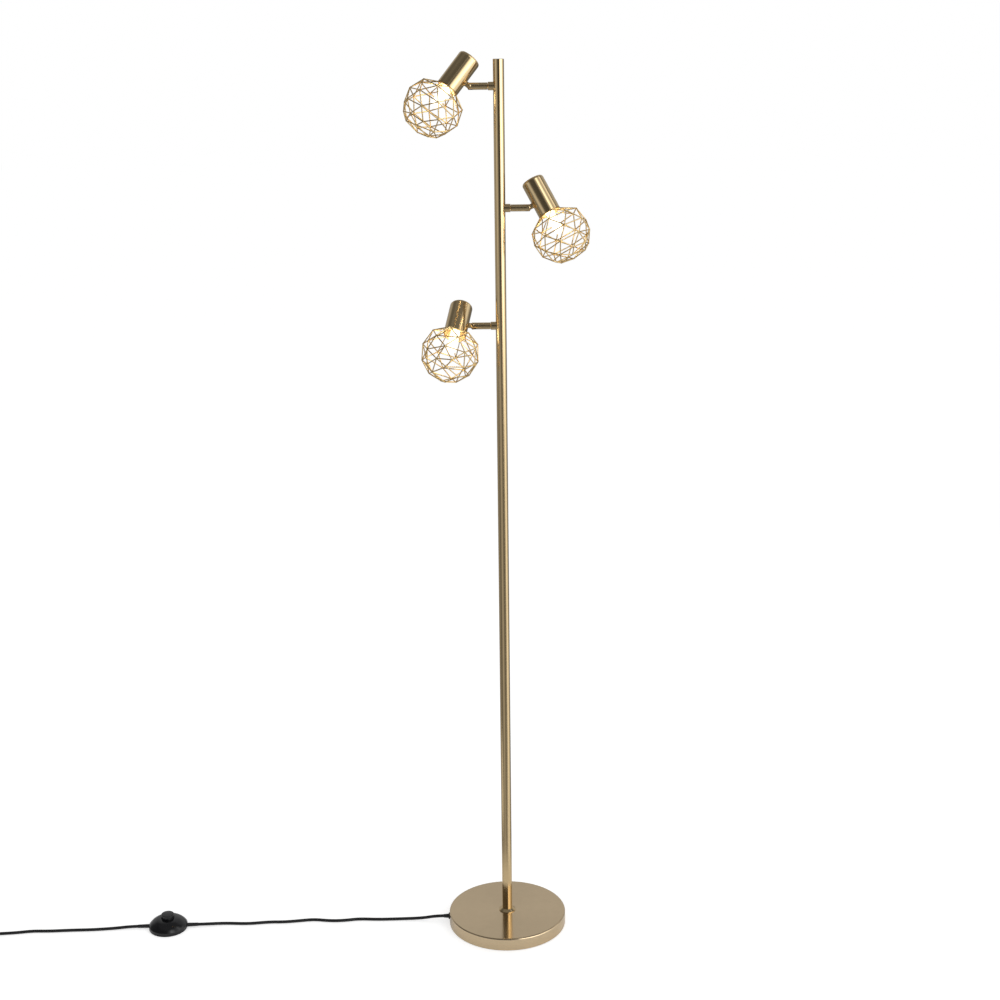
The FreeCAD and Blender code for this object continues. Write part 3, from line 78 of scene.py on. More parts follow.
# Mains cord: round black cord with a smooth PVC sheath. It leaves the bushing in
# the base, drops to the floor and runs to the foot switch in slack waves. Behind
# the switch it goes on to a wound coil that ends in the plug.

CORD_DIAMETER = 0.0056
ON_FLOOR = CORD_DIAMETER / 2
BUSHING_TIP = Vector((-0.1175, 0.0, 0.011))
SWITCH_PLACE = Vector((-0.625, -0.0115, 0.0))
SWITCH_TURN = radians(2.6)
GUARD_END = 0.055
GUARD_HEIGHT = 0.0044
STRAIGHT_OUT = 0.015
NOISE_DETAIL = 3.0
NOISE_LOW = 0.3
NOISE_HIGH = 0.7
CLOUD_SCALE = 60.0
MOULDED_RELIEF = 0.0002
CORD_FACETS = 5
CORD_STEPS = 6


def switch_point(along, height):
    """Point on the line through the foot switch, positive towards the lamp."""
    return SWITCH_PLACE + Vector((along * cos(SWITCH_TURN), along * sin(SWITCH_TURN), height))


def start_finish(name, colour, metallic, roughness):
    """New material with one principled shader, ready for its pattern."""
    material = bpy.data.materials.new(name)
    material.use_nodes = True
    shader = material.node_tree.nodes["Principled BSDF"]
    shader.inputs["Base Color"].default_value = colour + (1.0,)
    shader.inputs["Metallic"].default_value = metallic
    shader.inputs["Roughness"].default_value = roughness
    return material, material.node_tree, shader


def give(tree, socket, value):
    """Sets a socket to a plain value, or links it to another socket."""
    if isinstance(value, bpy.types.NodeSocket):
        tree.links.new(value, socket)
    else:
        socket.default_value = value


def calculated(tree, operation, *values):
    """Result of one operation on sockets or plain numbers."""
    node = tree.nodes.new("ShaderNodeMath")
    node.operation = operation
    for socket, value in zip(node.inputs, values):
        give(tree, socket, value)
    return node.outputs[0]


def distance_from(tree, place, point):
    """How far a place lies from the point."""
    node = tree.nodes.new("ShaderNodeVectorMath")
    node.operation = "DISTANCE"
    node.inputs[1].default_value = point
    tree.links.new(place, node.inputs[0])
    return node.outputs["Value"]


def spread(tree, value, start, end, low=0.0, high=1.0, smooth=False):
    """The value, which runs from start to end, spread from low to high."""
    node = tree.nodes.new("ShaderNodeMapRange")
    if smooth:
        node.interpolation_type = "SMOOTHSTEP"
    for title, level in (("From Min", start), ("From Max", end),
                         ("To Min", low), ("To Max", high)):
        node.inputs[title].default_value = level
    tree.links.new(value, node.inputs["Value"])
    return node.outputs["Result"]


def mixed(tree, share, first, second, kind="RGBA"):
    """Mix of two colours, or of two numbers."""
    node = tree.nodes.new("ShaderNodeMix")
    node.data_type = kind
    for title, value in (("Factor", share), ("A", first), ("B", second)):
        give(tree, node.inputs[title], value)
    return node.outputs["Result"]


def speckle(tree, scale):
    """Noise on the piece's own coordinates. Returns its value socket."""
    place = tree.nodes.new("ShaderNodeTexCoord")
    noise = tree.nodes.new("ShaderNodeTexNoise")
    noise.inputs["Scale"].default_value = scale
    noise.inputs["Detail"].default_value = NOISE_DETAIL
    tree.links.new(place.outputs["Object"], noise.inputs["Vector"])
    return noise.outputs["Fac"]


def between(tree, noise, low, high):
    """The noise, which keeps to the middle of 0 to 1, spread over another range."""
    return spread(tree, noise, NOISE_LOW, NOISE_HIGH, low, high)


def two_tones(tree, share, dark, light):
    """Colour between two tones, by the share."""
    return mixed(tree, share, dark + (1.0,), light + (1.0,))


def relief(tree, shader, value, depth, distance):
    """Bump from the value."""
    bump = tree.nodes.new("ShaderNodeBump")
    bump.inputs["Strength"].default_value = depth
    bump.inputs["Distance"].default_value = distance
    tree.links.new(value, bump.inputs["Height"])
    tree.links.new(bump.outputs["Normal"], shader.inputs["Normal"])


def mottled(name, colour, metallic, roughness, scale, dark, light, rough=None, bump=None):
    """Finish that wanders between two tones, with rough as its lowest and highest
    roughness and bump as the depth and distance of its relief."""
    material, tree, shader = start_finish(name, colour, metallic, roughness)
    cloud = speckle(tree, scale)
    tree.links.new(two_tones(tree, cloud, dark, light), shader.inputs["Base Color"])
    if rough:
        tree.links.new(between(tree, cloud, *rough), shader.inputs["Roughness"])
    if bump:
        relief(tree, shader, cloud, *bump)
    return material


def soft_black(name, dark, light, rough, grain, depth):
    """Black plastic or rubber with a fine moulded grain."""
    material, tree, shader = start_finish(name, dark, 0.0, rough[0])
    cloud = speckle(tree, CLOUD_SCALE)
    tree.links.new(two_tones(tree, cloud, dark, light), shader.inputs["Base Color"])
    fine = speckle(tree, grain)
    tree.links.new(between(tree, fine, *rough), shader.inputs["Roughness"])
    relief(tree, shader, fine, depth, MOULDED_RELIEF)
    return material


sheath = soft_black("black_sheath", (0.007, 0.007, 0.008), (0.012, 0.012, 0.013),
                    (0.34, 0.42), grain=3000.0, depth=0.06)


def lay_cord(name, points):
    """Round cord on one smooth line, with the points as its control points."""
    data = bpy.data.curves.new(name, "CURVE")
    data.dimensions = "3D"
    data.bevel_depth = CORD_DIAMETER / 2
    data.bevel_resolution = CORD_FACETS
    data.use_fill_caps = True
    data.resolution_u = CORD_STEPS
    line = data.splines.new("NURBS")
    line.points.add(len(points) - 1)
    for knot, point in zip(line.points, points):
        knot.co = (point[0], point[1], point[2], 1.0)
    line.order_u = 3
    line.use_endpoint_u = True
    data.materials.append(sheath)
    cord = bpy.data.objects.new(name, data)
    bpy.context.scene.collection.objects.link(cord)
    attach(cord, "root")
    return cord


base_lead = lay_cord("base_lead", [
    BUSHING_TIP,
    BUSHING_TIP + Vector((-STRAIGHT_OUT, 0.0, 0.0)),
    (-0.156, 0.0034, 0.0052),
    (-0.190, 0.0056, ON_FLOOR),
    (-0.240, 0.0040, ON_FLOOR),
    (-0.275, 0.0072, ON_FLOOR),
    (-0.302, 0.0016, ON_FLOOR),
    (-0.328, 0.0008, ON_FLOOR),
    (-0.358, 0.0068, ON_FLOOR),
    (-0.384, 0.0026, ON_FLOOR),
    (-0.412, -0.0014, ON_FLOOR),
    (-0.441, -0.0006, ON_FLOOR),
    (-0.479, -0.0066, ON_FLOOR),
    (-0.520, -0.0030, ON_FLOOR),
    switch_point(GUARD_END + STRAIGHT_OUT, GUARD_HEIGHT),
    switch_point(GUARD_END, GUARD_HEIGHT),
])
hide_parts("base_cord")

COIL_PLACE = Vector((-0.996, 0.004, 0.0))
COIL_MEAN_RADIUS = 0.031
COIL_PITCH = 0.0061
COIL_TURNS = 2.25
COIL_CLIMB = 0.5
COIL_POINTS_PER_TURN = 24
COIL_OUTER = COIL_MEAN_RADIUS + COIL_PITCH * COIL_TURNS / 2
PLUG_REAR = Vector((-1.0416, COIL_PLACE.y - COIL_OUTER, 0.0068))


def wound(turns):
    """Point of the winding: inwards on the floor, up a layer, outwards again."""
    share = min(max((turns - COIL_TURNS) / COIL_CLIMB, 0.0), 1.0)
    if turns <= COIL_TURNS:
        radius = COIL_OUTER - COIL_PITCH * turns
    elif share < 1.0:
        dip = COIL_PITCH * COIL_CLIMB / pi * sin(pi * share)
        radius = COIL_OUTER - COIL_PITCH * COIL_TURNS - dip
    else:
        radius = COIL_OUTER - COIL_PITCH * (2 * COIL_TURNS + COIL_CLIMB - turns)
    rise = COIL_PITCH * (3 - 2 * share) * share ** 2
    angle = -pi / 2 - 2 * pi * turns
    return COIL_PLACE + Vector((radius * cos(angle), radius * sin(angle), ON_FLOOR + rise))


plug_lead_points = [
    switch_point(-GUARD_END, GUARD_HEIGHT),
    switch_point(-GUARD_END - STRAIGHT_OUT, GUARD_HEIGHT),
    (-0.724, -0.0176, ON_FLOOR),
    (-0.762, -0.0216, ON_FLOOR),
    (-0.803, -0.0224, ON_FLOOR),
    (-0.842, -0.0250, ON_FLOOR),
    (-0.872, -0.0238, ON_FLOOR),
    (-0.902, -0.0296, ON_FLOOR),
    (-0.936, -0.0324, ON_FLOOR),
    (-0.9644, -0.0339, ON_FLOOR),
    (-0.9904, -0.0339, ON_FLOOR),
]
for step in range(round((2 * COIL_TURNS + COIL_CLIMB) * COIL_POINTS_PER_TURN) + 1):
    plug_lead_points.append(wound(step / COIL_POINTS_PER_TURN))
plug_lead_points += [
    (-1.010, PLUG_REAR.y, 0.0087),
    (-1.024, PLUG_REAR.y, 0.0072),
    PLUG_REAR + Vector((0.0056, 0.0, 0.0)),
    PLUG_REAR,
]
plug_lead = lay_cord("plug_lead", plug_lead_points)
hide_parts("switch_cord", "cord_coil")


# Studio: white paper on the floor, in soft light from two tall softboxes in front
# and two behind. Beyond the paper the brass mirrors a dim room with a tall bright
# window at the right in front, and darkness towards the camera.

floor_mesh = bpy.data.meshes.new("floor")
floor_mesh.from_pydata([(-14, -8, 0), (14, -8, 0), (14, 20, 0), (-14, 20, 0)], [],
                       [(0, 1, 2, 3)])
floor = bpy.data.objects.new("floor", floor_mesh)
bpy.context.scene.collection.objects.link(floor)
floor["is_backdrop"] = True

FLOOR_TONE = (0.82, 0.82, 0.82)
FLOOR_ROUGHNESS = 0.9
PAPER_GLOW_SEEN = 0.55
PAPER_GLOW_IN_METAL = 0.16
PAPER_NEAR = 0.16
PAPER_FAR = 0.35
LAMP_PLACE = (0.0, 0.0, 0.0)

floor_paper, tree, shader = start_finish("floor_paper", FLOOR_TONE, 0.0, FLOOR_ROUGHNESS)
shader.inputs["Specular IOR Level"].default_value = 0.0
sight = tree.nodes.new("ShaderNodeLightPath")
spot = tree.nodes.new("ShaderNodeNewGeometry")
paper_glow = tree.nodes.new("ShaderNodeEmission")
lit_paper = tree.nodes.new("ShaderNodeAddShader")
open_room = tree.nodes.new("ShaderNodeBsdfTransparent")
either = tree.nodes.new("ShaderNodeMixShader")
in_metal = calculated(tree, "MULTIPLY", sight.outputs["Is Glossy Ray"], PAPER_GLOW_IN_METAL)
strength = calculated(tree, "MULTIPLY_ADD", sight.outputs["Is Camera Ray"], PAPER_GLOW_SEEN,
                      in_metal)
nearest = calculated(tree, "MINIMUM",
                     distance_from(tree, spot.outputs["Position"], LAMP_PLACE),
                     distance_from(tree, spot.outputs["Position"], SWITCH_PLACE))
beyond_paper = spread(tree, nearest, PAPER_NEAR, PAPER_FAR, smooth=True)
unseen = calculated(tree, "MULTIPLY", beyond_paper, sight.outputs["Is Glossy Ray"])
tree.links.new(strength, paper_glow.inputs["Strength"])
tree.links.new(shader.outputs["BSDF"], lit_paper.inputs[0])
tree.links.new(paper_glow.outputs["Emission"], lit_paper.inputs[1])
tree.links.new(unseen, either.inputs["Fac"])
tree.links.new(lit_paper.outputs[0], either.inputs[1])
tree.links.new(open_room.outputs["BSDF"], either.inputs[2])
tree.links.new(either.outputs[0], tree.nodes["Material Output"].inputs["Surface"])
floor_mesh.materials.append(floor_paper)

ROOM_LEVEL = 0.55

# Brightness of the room in each direction, at rising heights of view. A place of
# 0.25 is towards the camera, 0.5 right, 0.75 behind the lamp, 0 and 1 left.
FLOOR_BELOW = ((0.00, 0.24), (0.10, 0.38), (0.24, 0.28), (0.30, 0.40), (0.36, 1.20),
               (0.43, 0.95), (0.50, 0.30), (0.62, 0.25), (0.75, 0.34), (1.00, 0.24))
FLOOR_BEYOND = ((0.00, 0.28), (0.06, 0.12), (0.12, 0.30), (0.18, 0.52), (0.24, 0.26),
                (0.31, 0.14), (0.37, 0.34), (0.41, 1.05), (0.455, 1.30), (0.50, 0.85),
                (0.54, 0.60), (0.60, 0.16), (0.70, 0.16), (0.80, 0.34), (0.92, 0.30),
                (1.00, 0.28))
EYE_LEVEL = ((0.00, 0.34), (0.09, 0.74), (0.16, 0.34), (0.22, 0.04), (0.29, 0.06),
             (0.335, 2.30), (0.38, 3.00), (0.44, 2.80), (0.48, 1.20), (0.53, 0.70),
             (0.60, 0.20), (0.70, 0.20), (0.90, 0.50), (1.00, 0.34))
OVER_LAMP = ((0.00, 0.12), (0.14, 0.10), (0.29, 0.06), (0.335, 1.90), (0.39, 2.90),
             (0.44, 1.50), (0.54, 1.05), (0.59, 0.50), (0.70, 0.60), (0.87, 0.46),
             (0.93, 0.14), (1.00, 0.12))
HIGH_UP = ((0.00, 0.12), (0.24, 0.12), (0.30, 0.60), (0.335, 2.40), (0.37, 1.60),
           (0.41, 0.60), (0.46, 0.70), (0.50, 1.60), (0.54, 0.10), (0.62, 0.45),
           (0.80, 0.50), (0.90, 0.16), (1.00, 0.12))
OVERHEAD = ((0.00, 0.22), (1.00, 0.22))
PASSES = ((-0.49, -0.40, FLOOR_BEYOND), (-0.24, -0.10, EYE_LEVEL), (0.02, 0.20, OVER_LAMP),
          (0.44, 0.60, HIGH_UP), (0.76, 0.88, OVERHEAD))
WHITE = (1.0, 1.0, 1.0, 1.0)

room = bpy.data.worlds.new("studio_room")
bpy.context.scene.world = room
room.use_nodes = True
tree = room.node_tree
background = tree.nodes["Background"]
sight = tree.nodes.new("ShaderNodeLightPath")
direction = tree.nodes.new("ShaderNodeTexCoord")
around = tree.nodes.new("ShaderNodeTexGradient")
around.gradient_type = "RADIAL"
height = tree.nodes.new("ShaderNodeSeparateXYZ")
tree.links.new(direction.outputs["Generated"], around.inputs["Vector"])
tree.links.new(direction.outputs["Generated"], height.inputs["Vector"])


def brightness_around(stops):
    """Brightness of the room by direction, from (place, level) pairs."""
    ramp = tree.nodes.new("ShaderNodeValToRGB")
    ramp.color_ramp.interpolation = "EASE"
    while len(ramp.color_ramp.elements) < len(stops):
        ramp.color_ramp.elements.new(0.5)
    for element, (place, level) in zip(ramp.color_ramp.elements, stops):
        element.position = place
        element.color = (level, level, level, 1.0)
    tree.links.new(around.outputs["Fac"], ramp.inputs["Fac"])
    return ramp.outputs["Color"]


for_metal = brightness_around(FLOOR_BELOW)
for low, high, stops in PASSES:
    share = spread(tree, height.outputs["Z"], low, high, smooth=True)
    for_metal = mixed(tree, share, for_metal, brightness_around(stops))
lit_room = mixed(tree, sight.outputs["Is Glossy Ray"],
                 (ROOM_LEVEL, ROOM_LEVEL, ROOM_LEVEL, 1.0), for_metal)
seen = calculated(tree, "MAXIMUM", sight.outputs["Is Camera Ray"],
                  sight.outputs["Is Transmission Ray"])
tree.links.new(mixed(tree, seen, lit_room, WHITE), background.inputs["Color"])
background.inputs["Strength"].default_value = 1.0

SOFTBOX_HEIGHT = 2.2


def softbox(name, place, width, brightness):
    """Tall soft lamp that faces the pole. brightness is that of its cloth."""
    data = bpy.data.lights.new(name, "AREA")
    data.shape = "RECTANGLE"
    data.size = width
    data.size_y = SOFTBOX_HEIGHT
    data.energy = brightness * pi * width * SOFTBOX_HEIGHT
    lamp = bpy.data.objects.new(name, data)
    bpy.context.scene.collection.objects.link(lamp)
    aim = Vector((0.0, 0.0, place[2])) - Vector(place)
    lamp.rotation_euler = aim.to_track_quat("-Z", "Y").to_euler()
    lamp.location = place
    lamp.visible_camera = False
    lamp.visible_glossy = False


softbox("softbox_front_right", (1.60, -2.00, 1.20), width=1.3, brightness=2.2)
softbox("softbox_front_left", (-2.35, -1.20, 1.15), width=0.8, brightness=0.9)
softbox("softbox_back_right", (2.30, 1.60, 1.15), width=0.9, brightness=0.8)
softbox("softbox_back_left", (-1.70, 2.20, 1.15), width=0.9, brightness=0.8)


# Base: a cover of spun sheet with a satin brass finish, brushed in circles, over
# a cast iron weight. The weight stands on a foam pad and is drawn up against the
# cover by a nipple with a washer and nut, out of sight.

COVER_BRASS = (0.72, 0.565, 0.365)
TUBE_BRASS = (0.72, 0.545, 0.305)
STROKE_SCALE = 1800.0
STROKE_RELIEF = (0.015, 0.00002)
CLOUD_SHADE = 0.93
POLISH_BELOW = 0.02
POLISH_ABOVE = 0.03
UNPOLISHED = 0.65


def dress(finish, *names):
    """Gives carried-over pieces their finish."""
    for name in names:
        for piece_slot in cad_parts[name].material_slots:
            piece_slot.material = finish


def brushed_brass(name, colour, place, roughness, inside_radius=0.0):
    """Satin brass, brushed in circles about the piece's own axis, which place puts
    on Z. Within inside_radius the metal is left as it was drawn, without polish."""
    material, tree, shader = start_finish(name, colour, 1.0, roughness)
    where = tree.nodes.new("ShaderNodeTexCoord")
    mapping = tree.nodes.new("ShaderNodeMapping")
    mapping.inputs["Location"].default_value = place.to_translation()
    mapping.inputs["Rotation"].default_value = place.to_euler()
    tree.links.new(where.outputs["Object"], mapping.inputs["Vector"])
    apart = tree.nodes.new("ShaderNodeSeparateXYZ")
    tree.links.new(mapping.outputs["Vector"], apart.inputs["Vector"])
    flat = tree.nodes.new("ShaderNodeCombineXYZ")
    tree.links.new(apart.outputs["X"], flat.inputs["X"])
    tree.links.new(apart.outputs["Y"], flat.inputs["Y"])
    radius = distance_from(tree, flat.outputs["Vector"], (0.0, 0.0, 0.0))
    strokes_place = tree.nodes.new("ShaderNodeCombineXYZ")
    tree.links.new(radius, strokes_place.inputs["X"])
    tree.links.new(apart.outputs["Z"], strokes_place.inputs["Z"])
    strokes = tree.nodes.new("ShaderNodeTexNoise")
    strokes.inputs["Scale"].default_value = STROKE_SCALE
    strokes.inputs["Detail"].default_value = NOISE_DETAIL
    tree.links.new(strokes_place.outputs["Vector"], strokes.inputs["Vector"])
    darker = tuple(CLOUD_SHADE * part for part in colour)
    tree.links.new(two_tones(tree, speckle(tree, CLOUD_SCALE), darker, colour),
                   shader.inputs["Base Color"])
    polish = between(tree, strokes.outputs["Fac"], roughness - POLISH_BELOW,
                     roughness + POLISH_ABOVE)
    if inside_radius:
        inside = calculated(tree, "LESS_THAN", radius, inside_radius)
        polish = mixed(tree, inside, polish, UNPOLISHED, kind="FLOAT")
    tree.links.new(polish, shader.inputs["Roughness"])
    relief(tree, shader, strokes.outputs["Fac"], *STROKE_RELIEF)
    return material, tree, shader


def spread_along(tree, shader, amount, direction=None):
    """Stretches the brushed metal's reflections across its strokes: along the given
    direction, or outwards from the lamp's own axis on a flat disc."""
    shader.inputs["Anisotropic"].default_value = amount
    across = tree.nodes.new("ShaderNodeCombineXYZ")
    if direction is None:
        place = tree.nodes.new("ShaderNodeNewGeometry")
        apart = tree.nodes.new("ShaderNodeSeparateXYZ")
        tree.links.new(place.outputs["Position"], apart.inputs["Vector"])
        tree.links.new(apart.outputs["X"], across.inputs["X"])
        tree.links.new(apart.outputs["Y"], across.inputs["Y"])
    else:
        for axis, share in zip("XYZ", direction):
            across.inputs[axis].default_value = share
    tree.links.new(across.outputs["Vector"], shader.inputs["Tangent"])


spun_brass, tree, shader = brushed_brass("spun_brass", COVER_BRASS, Matrix.Identity(4), 0.20)
spread_along(tree, shader, 0.8)
dress(spun_brass, "base_cover")

cast_iron = mottled("cast_iron", (0.06, 0.06, 0.062), 0.7, 0.6, 220.0,
                    (0.035, 0.034, 0.033), (0.085, 0.083, 0.08), bump=(0.5, 0.0006))
dress(cast_iron, "base_weight")

zinc_steel = mottled("zinc_steel", (0.55, 0.56, 0.57), 1.0, 0.3, 300.0,
                     (0.46, 0.47, 0.49), (0.62, 0.63, 0.64), rough=(0.24, 0.4))
dress(zinc_steel, "base_nipple", "base_nut", "foot_plug", "pole_joiners")

foam_grey, tree, shader = start_finish("foam_grey", (0.03, 0.03, 0.032), 0.0, 0.9)
cells = tree.nodes.new("ShaderNodeTexVoronoi")
cells.inputs["Scale"].default_value = 700.0
where = tree.nodes.new("ShaderNodeTexCoord")
tree.links.new(where.outputs["Object"], cells.inputs["Vector"])
tree.links.new(two_tones(tree, cells.outputs["Distance"], (0.018, 0.018, 0.02),
                         (0.05, 0.05, 0.052)), shader.inputs["Base Color"])
relief(tree, shader, cells.outputs["Distance"], 0.6, 0.0008)

PAD_RADIUS = 0.1028
PAD_THICK = 0.003
PAD_ROUNDING = 0.0006
PAD_TOP_ROUNDING = 0.0004
PAD_SEGMENTS = 96
SHARP_FROM = radians(35)
ON_AXIS = 1e-6


def lathe(name, outline, segments, axis=Matrix.Identity(4), closed=True):
    """Round piece from (radius, height) points, set in place by its axis."""
    form = bmesh.new()
    rings = []
    for radius, height in outline:
        if radius < ON_AXIS:
            rings.append([form.verts.new(axis @ Vector((0.0, 0.0, height)))])
            continue
        ring = []
        for step in range(segments):
            angle = 2 * pi * step / segments
            ring.append(form.verts.new(axis @ Vector((radius * cos(angle), radius * sin(angle),
                                                      height))))
        rings.append(ring)
    pairs = list(zip(rings, rings[1:]))
    if closed:
        pairs.append((rings[-1], rings[0]))
    for lower, upper in pairs:
        for step in range(segments):
            after = (step + 1) % segments
            if len(lower) == 1 and len(upper) == 1:
                break
            if len(lower) == 1:
                form.faces.new((lower[0], upper[after], upper[step]))
            elif len(upper) == 1:
                form.faces.new((lower[step], lower[after], upper[0]))
            else:
                form.faces.new((lower[step], lower[after], upper[after], upper[step]))
    bmesh.ops.recalc_face_normals(form, faces=form.faces)
    mesh = bpy.data.meshes.new(name)
    form.to_mesh(mesh)
    form.free()
    piece = bpy.data.objects.new(name, mesh)
    bpy.context.scene.collection.objects.link(piece)
    for face in mesh.polygons:
        face.use_smooth = True
    mesh.set_sharp_from_angle(angle=SHARP_FROM)
    return piece


foam_pad = lathe("foam_pad", [
    (0.0, 0.0), (PAD_RADIUS - PAD_ROUNDING, 0.0), (PAD_RADIUS, PAD_ROUNDING),
    (PAD_RADIUS, PAD_THICK - PAD_TOP_ROUNDING), (PAD_RADIUS - PAD_TOP_ROUNDING, PAD_THICK),
    (0.0, PAD_THICK)], PAD_SEGMENTS, closed=False)
foam_pad.data.materials.append(foam_grey)
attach(foam_pad, "root")
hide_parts("base_pad")


# Bushing: the black rubber gland that holds the cord in the side of the base,
# with a short tapered spout.

bushing_rubber = soft_black("bushing_rubber", (0.010, 0.010, 0.011), (0.018, 0.018, 0.019),
                            (0.42, 0.58), grain=700.0, depth=0.4)
dress(bushing_rubber, "cable_bushing")


# Pole: three satin brass tubes of one size, screwed together end to end on hidden
# joiners, with a flat cap and a small flared collar at the foot. The supply lead
# runs up inside it.

pole_brass, tree, shader = brushed_brass("pole_brass", TUBE_BRASS, Matrix.Identity(4), 0.13)
spread_along(tree, shader, 0.5, (0.0, 0.0, 1.0))
dress(pole_brass, "lower_pole", "middle_pole", "upper_pole", "pole_cap", "foot_collar")
dress(sheath, "inner_lead")


# Arms: three short turned rods with a forked end. Each turns in a collar on the
# pole and holds the tab of its lamp head on a slotted screw.

along_arm = Matrix.Rotation(-pi / 2, 4, "Y")
arm_brass, tree, shader = brushed_brass("arm_brass", TUBE_BRASS, along_arm, 0.18)
spread_along(tree, shader, 0.4, (1.0, 0.0, 0.0))
dress(arm_brass, "arm_collars", "arm_1", "arm_2", "arm_3")
dress(arm_brass, "lug_1", "lug_2", "lug_3")
dress(arm_brass, "knuckle_screw_1", "knuckle_screw_2", "knuckle_screw_3")
dress(zinc_steel, "arm_clip_1", "arm_clip_2", "arm_clip_3")


# Cups: drawn brass cups, brushed round their own axis. Each hangs on its arm with
# its mouth turned down and outwards, and holds a ceramic lampholder.

ARM_HEIGHTS = (1.4978, 1.3036, 1.1094)
ARM_SIDES = (-1, 1, -1)
HEAD_TILT = (37.0, 27.4, 10.5)
HEAD_SWIVEL = (19.0, 19.0, 47.0)
PIVOT_REACH = 0.047
CUP_FROM_PIVOT = 0.0265
CUP_MOUTH = -0.023
CUP_INSIDE = 0.0184


def head_frame(number):
    """Place of a lamp head: its pivot, with the cup hanging along -Z."""
    turn = Matrix.Rotation(pi, 4, "Z") if ARM_SIDES[number] < 0 else Matrix.Identity(4)
    return (Matrix.Translation((0.0, 0.0, ARM_HEIGHTS[number]))
            @ Matrix.Rotation(radians(-HEAD_SWIVEL[number]), 4, "X") @ turn
            @ Matrix.Translation((PIVOT_REACH, 0.0, 0.0))
            @ Matrix.Rotation(radians(-HEAD_TILT[number]), 4, "Y"))


def cup_frame(number):
    """Place of a cup: the middle of its mouth, with its axis along Z."""
    return head_frame(number) @ Matrix.Translation((CUP_FROM_PIVOT, 0.0, CUP_MOUTH))


steatite = mottled("steatite", (0.72, 0.69, 0.62), 0.0, 0.45, 180.0,
                   (0.62, 0.59, 0.52), (0.78, 0.75, 0.69), bump=(0.15, 0.0002))

for number in range(3):
    cup_brass, tree, shader = brushed_brass("cup_brass_%d" % (number + 1), TUBE_BRASS,
                                            cup_frame(number).inverted(), 0.15,
                                            inside_radius=CUP_INSIDE)
    spread_along(tree, shader, 0.5, cup_frame(number).to_3x3() @ Vector((0.0, 0.0, 1.0)))
    dress(cup_brass, "holder_%d" % (number + 1))
    dress(zinc_steel, "socket_bracket_%d" % (number + 1), "head_fasteners_%d" % (number + 1))
    dress(steatite, "lampholder_%d" % (number + 1))


# Bulbs: frosted capsule bulbs with two pins, lit. The glass glows warm white and
# lights the cage and the inside of the cup.

GLOW_MIDDLE = 2.4
GLOW_RIM = 0.95
GLOW_ON_METAL = 6.0
WARM_MIDDLE = (1.0, 0.90, 0.68)
WARM_RIM = (1.0, 0.82, 0.52)
RIM_BLEND = 0.35

lit_glass, tree, shader = start_finish("lit_glass", (0.9, 0.88, 0.82), 0.0, 0.35)
turned_away = tree.nodes.new("ShaderNodeLayerWeight")
turned_away.inputs["Blend"].default_value = RIM_BLEND
facing = turned_away.outputs["Facing"]
tree.links.new(two_tones(tree, facing, WARM_MIDDLE, WARM_RIM), shader.inputs["Emission Color"])
frost = between(tree, speckle(tree, 90.0), 0.97, 1.03)
seen_glow = calculated(tree, "MULTIPLY", spread(tree, facing, 0.0, 1.0, GLOW_MIDDLE, GLOW_RIM),
                       frost)
sight = tree.nodes.new("ShaderNodeLightPath")
tree.links.new(mixed(tree, sight.outputs["Is Camera Ray"], GLOW_ON_METAL, seen_glow, kind="FLOAT"),
               shader.inputs["Emission Strength"])

for number in range(3):
    dress(lit_glass, "bulb_glass_%d" % (number + 1))
    dress(zinc_steel, "bulb_pins_%d" % (number + 1))


# Wire cages: balls of brass-plated wire, welded where the wires meet, each on a
# ring with a short sleeve that springs into the cup's mouth. The hubs lie on a
# sphere in rings that are turned half a step against each other.

CAGE_RADIUS = 0.0484
CAGE_CENTRE = Vector((0.0, 0.0, -0.0397))
CAGE_RING_ANGLES = (119.0, 92.0, 68.0, 44.0)
CAGE_RING_HUBS = 8
CAGE_END_ANGLE = 27.0
CAGE_END_HUBS = 4
CAGE_END_TWIST = 10.0
CAGE_TURN = (81.4, 15.8, 85.0)
WIRE_RADIUS = 0.00095
WIRE_FACETS = 12
WELD_RADIUS = 0.00125
WELD_SPREAD = 0.18
WELD_SINK = 0.0003
WELD_SEED = 7
BEAD_SUBDIVISIONS = 3
NECK_RADIUS = 0.0174
NECK_DROP = 0.0011
NECK_SEGMENTS = 64
SLEEVE_OUTER = 0.0179
SLEEVE_INNER = 0.0171
SLEEVE_RISE = 0.006


def on_ball(polar, around):
    """Point on the cage's sphere, at an angle from its lowest point."""
    reach = CAGE_RADIUS - WELD_SINK
    flat = reach * sin(radians(polar))
    return CAGE_CENTRE + Vector((flat * cos(radians(around)), flat * sin(radians(around)),
                                 -reach * cos(radians(polar))))


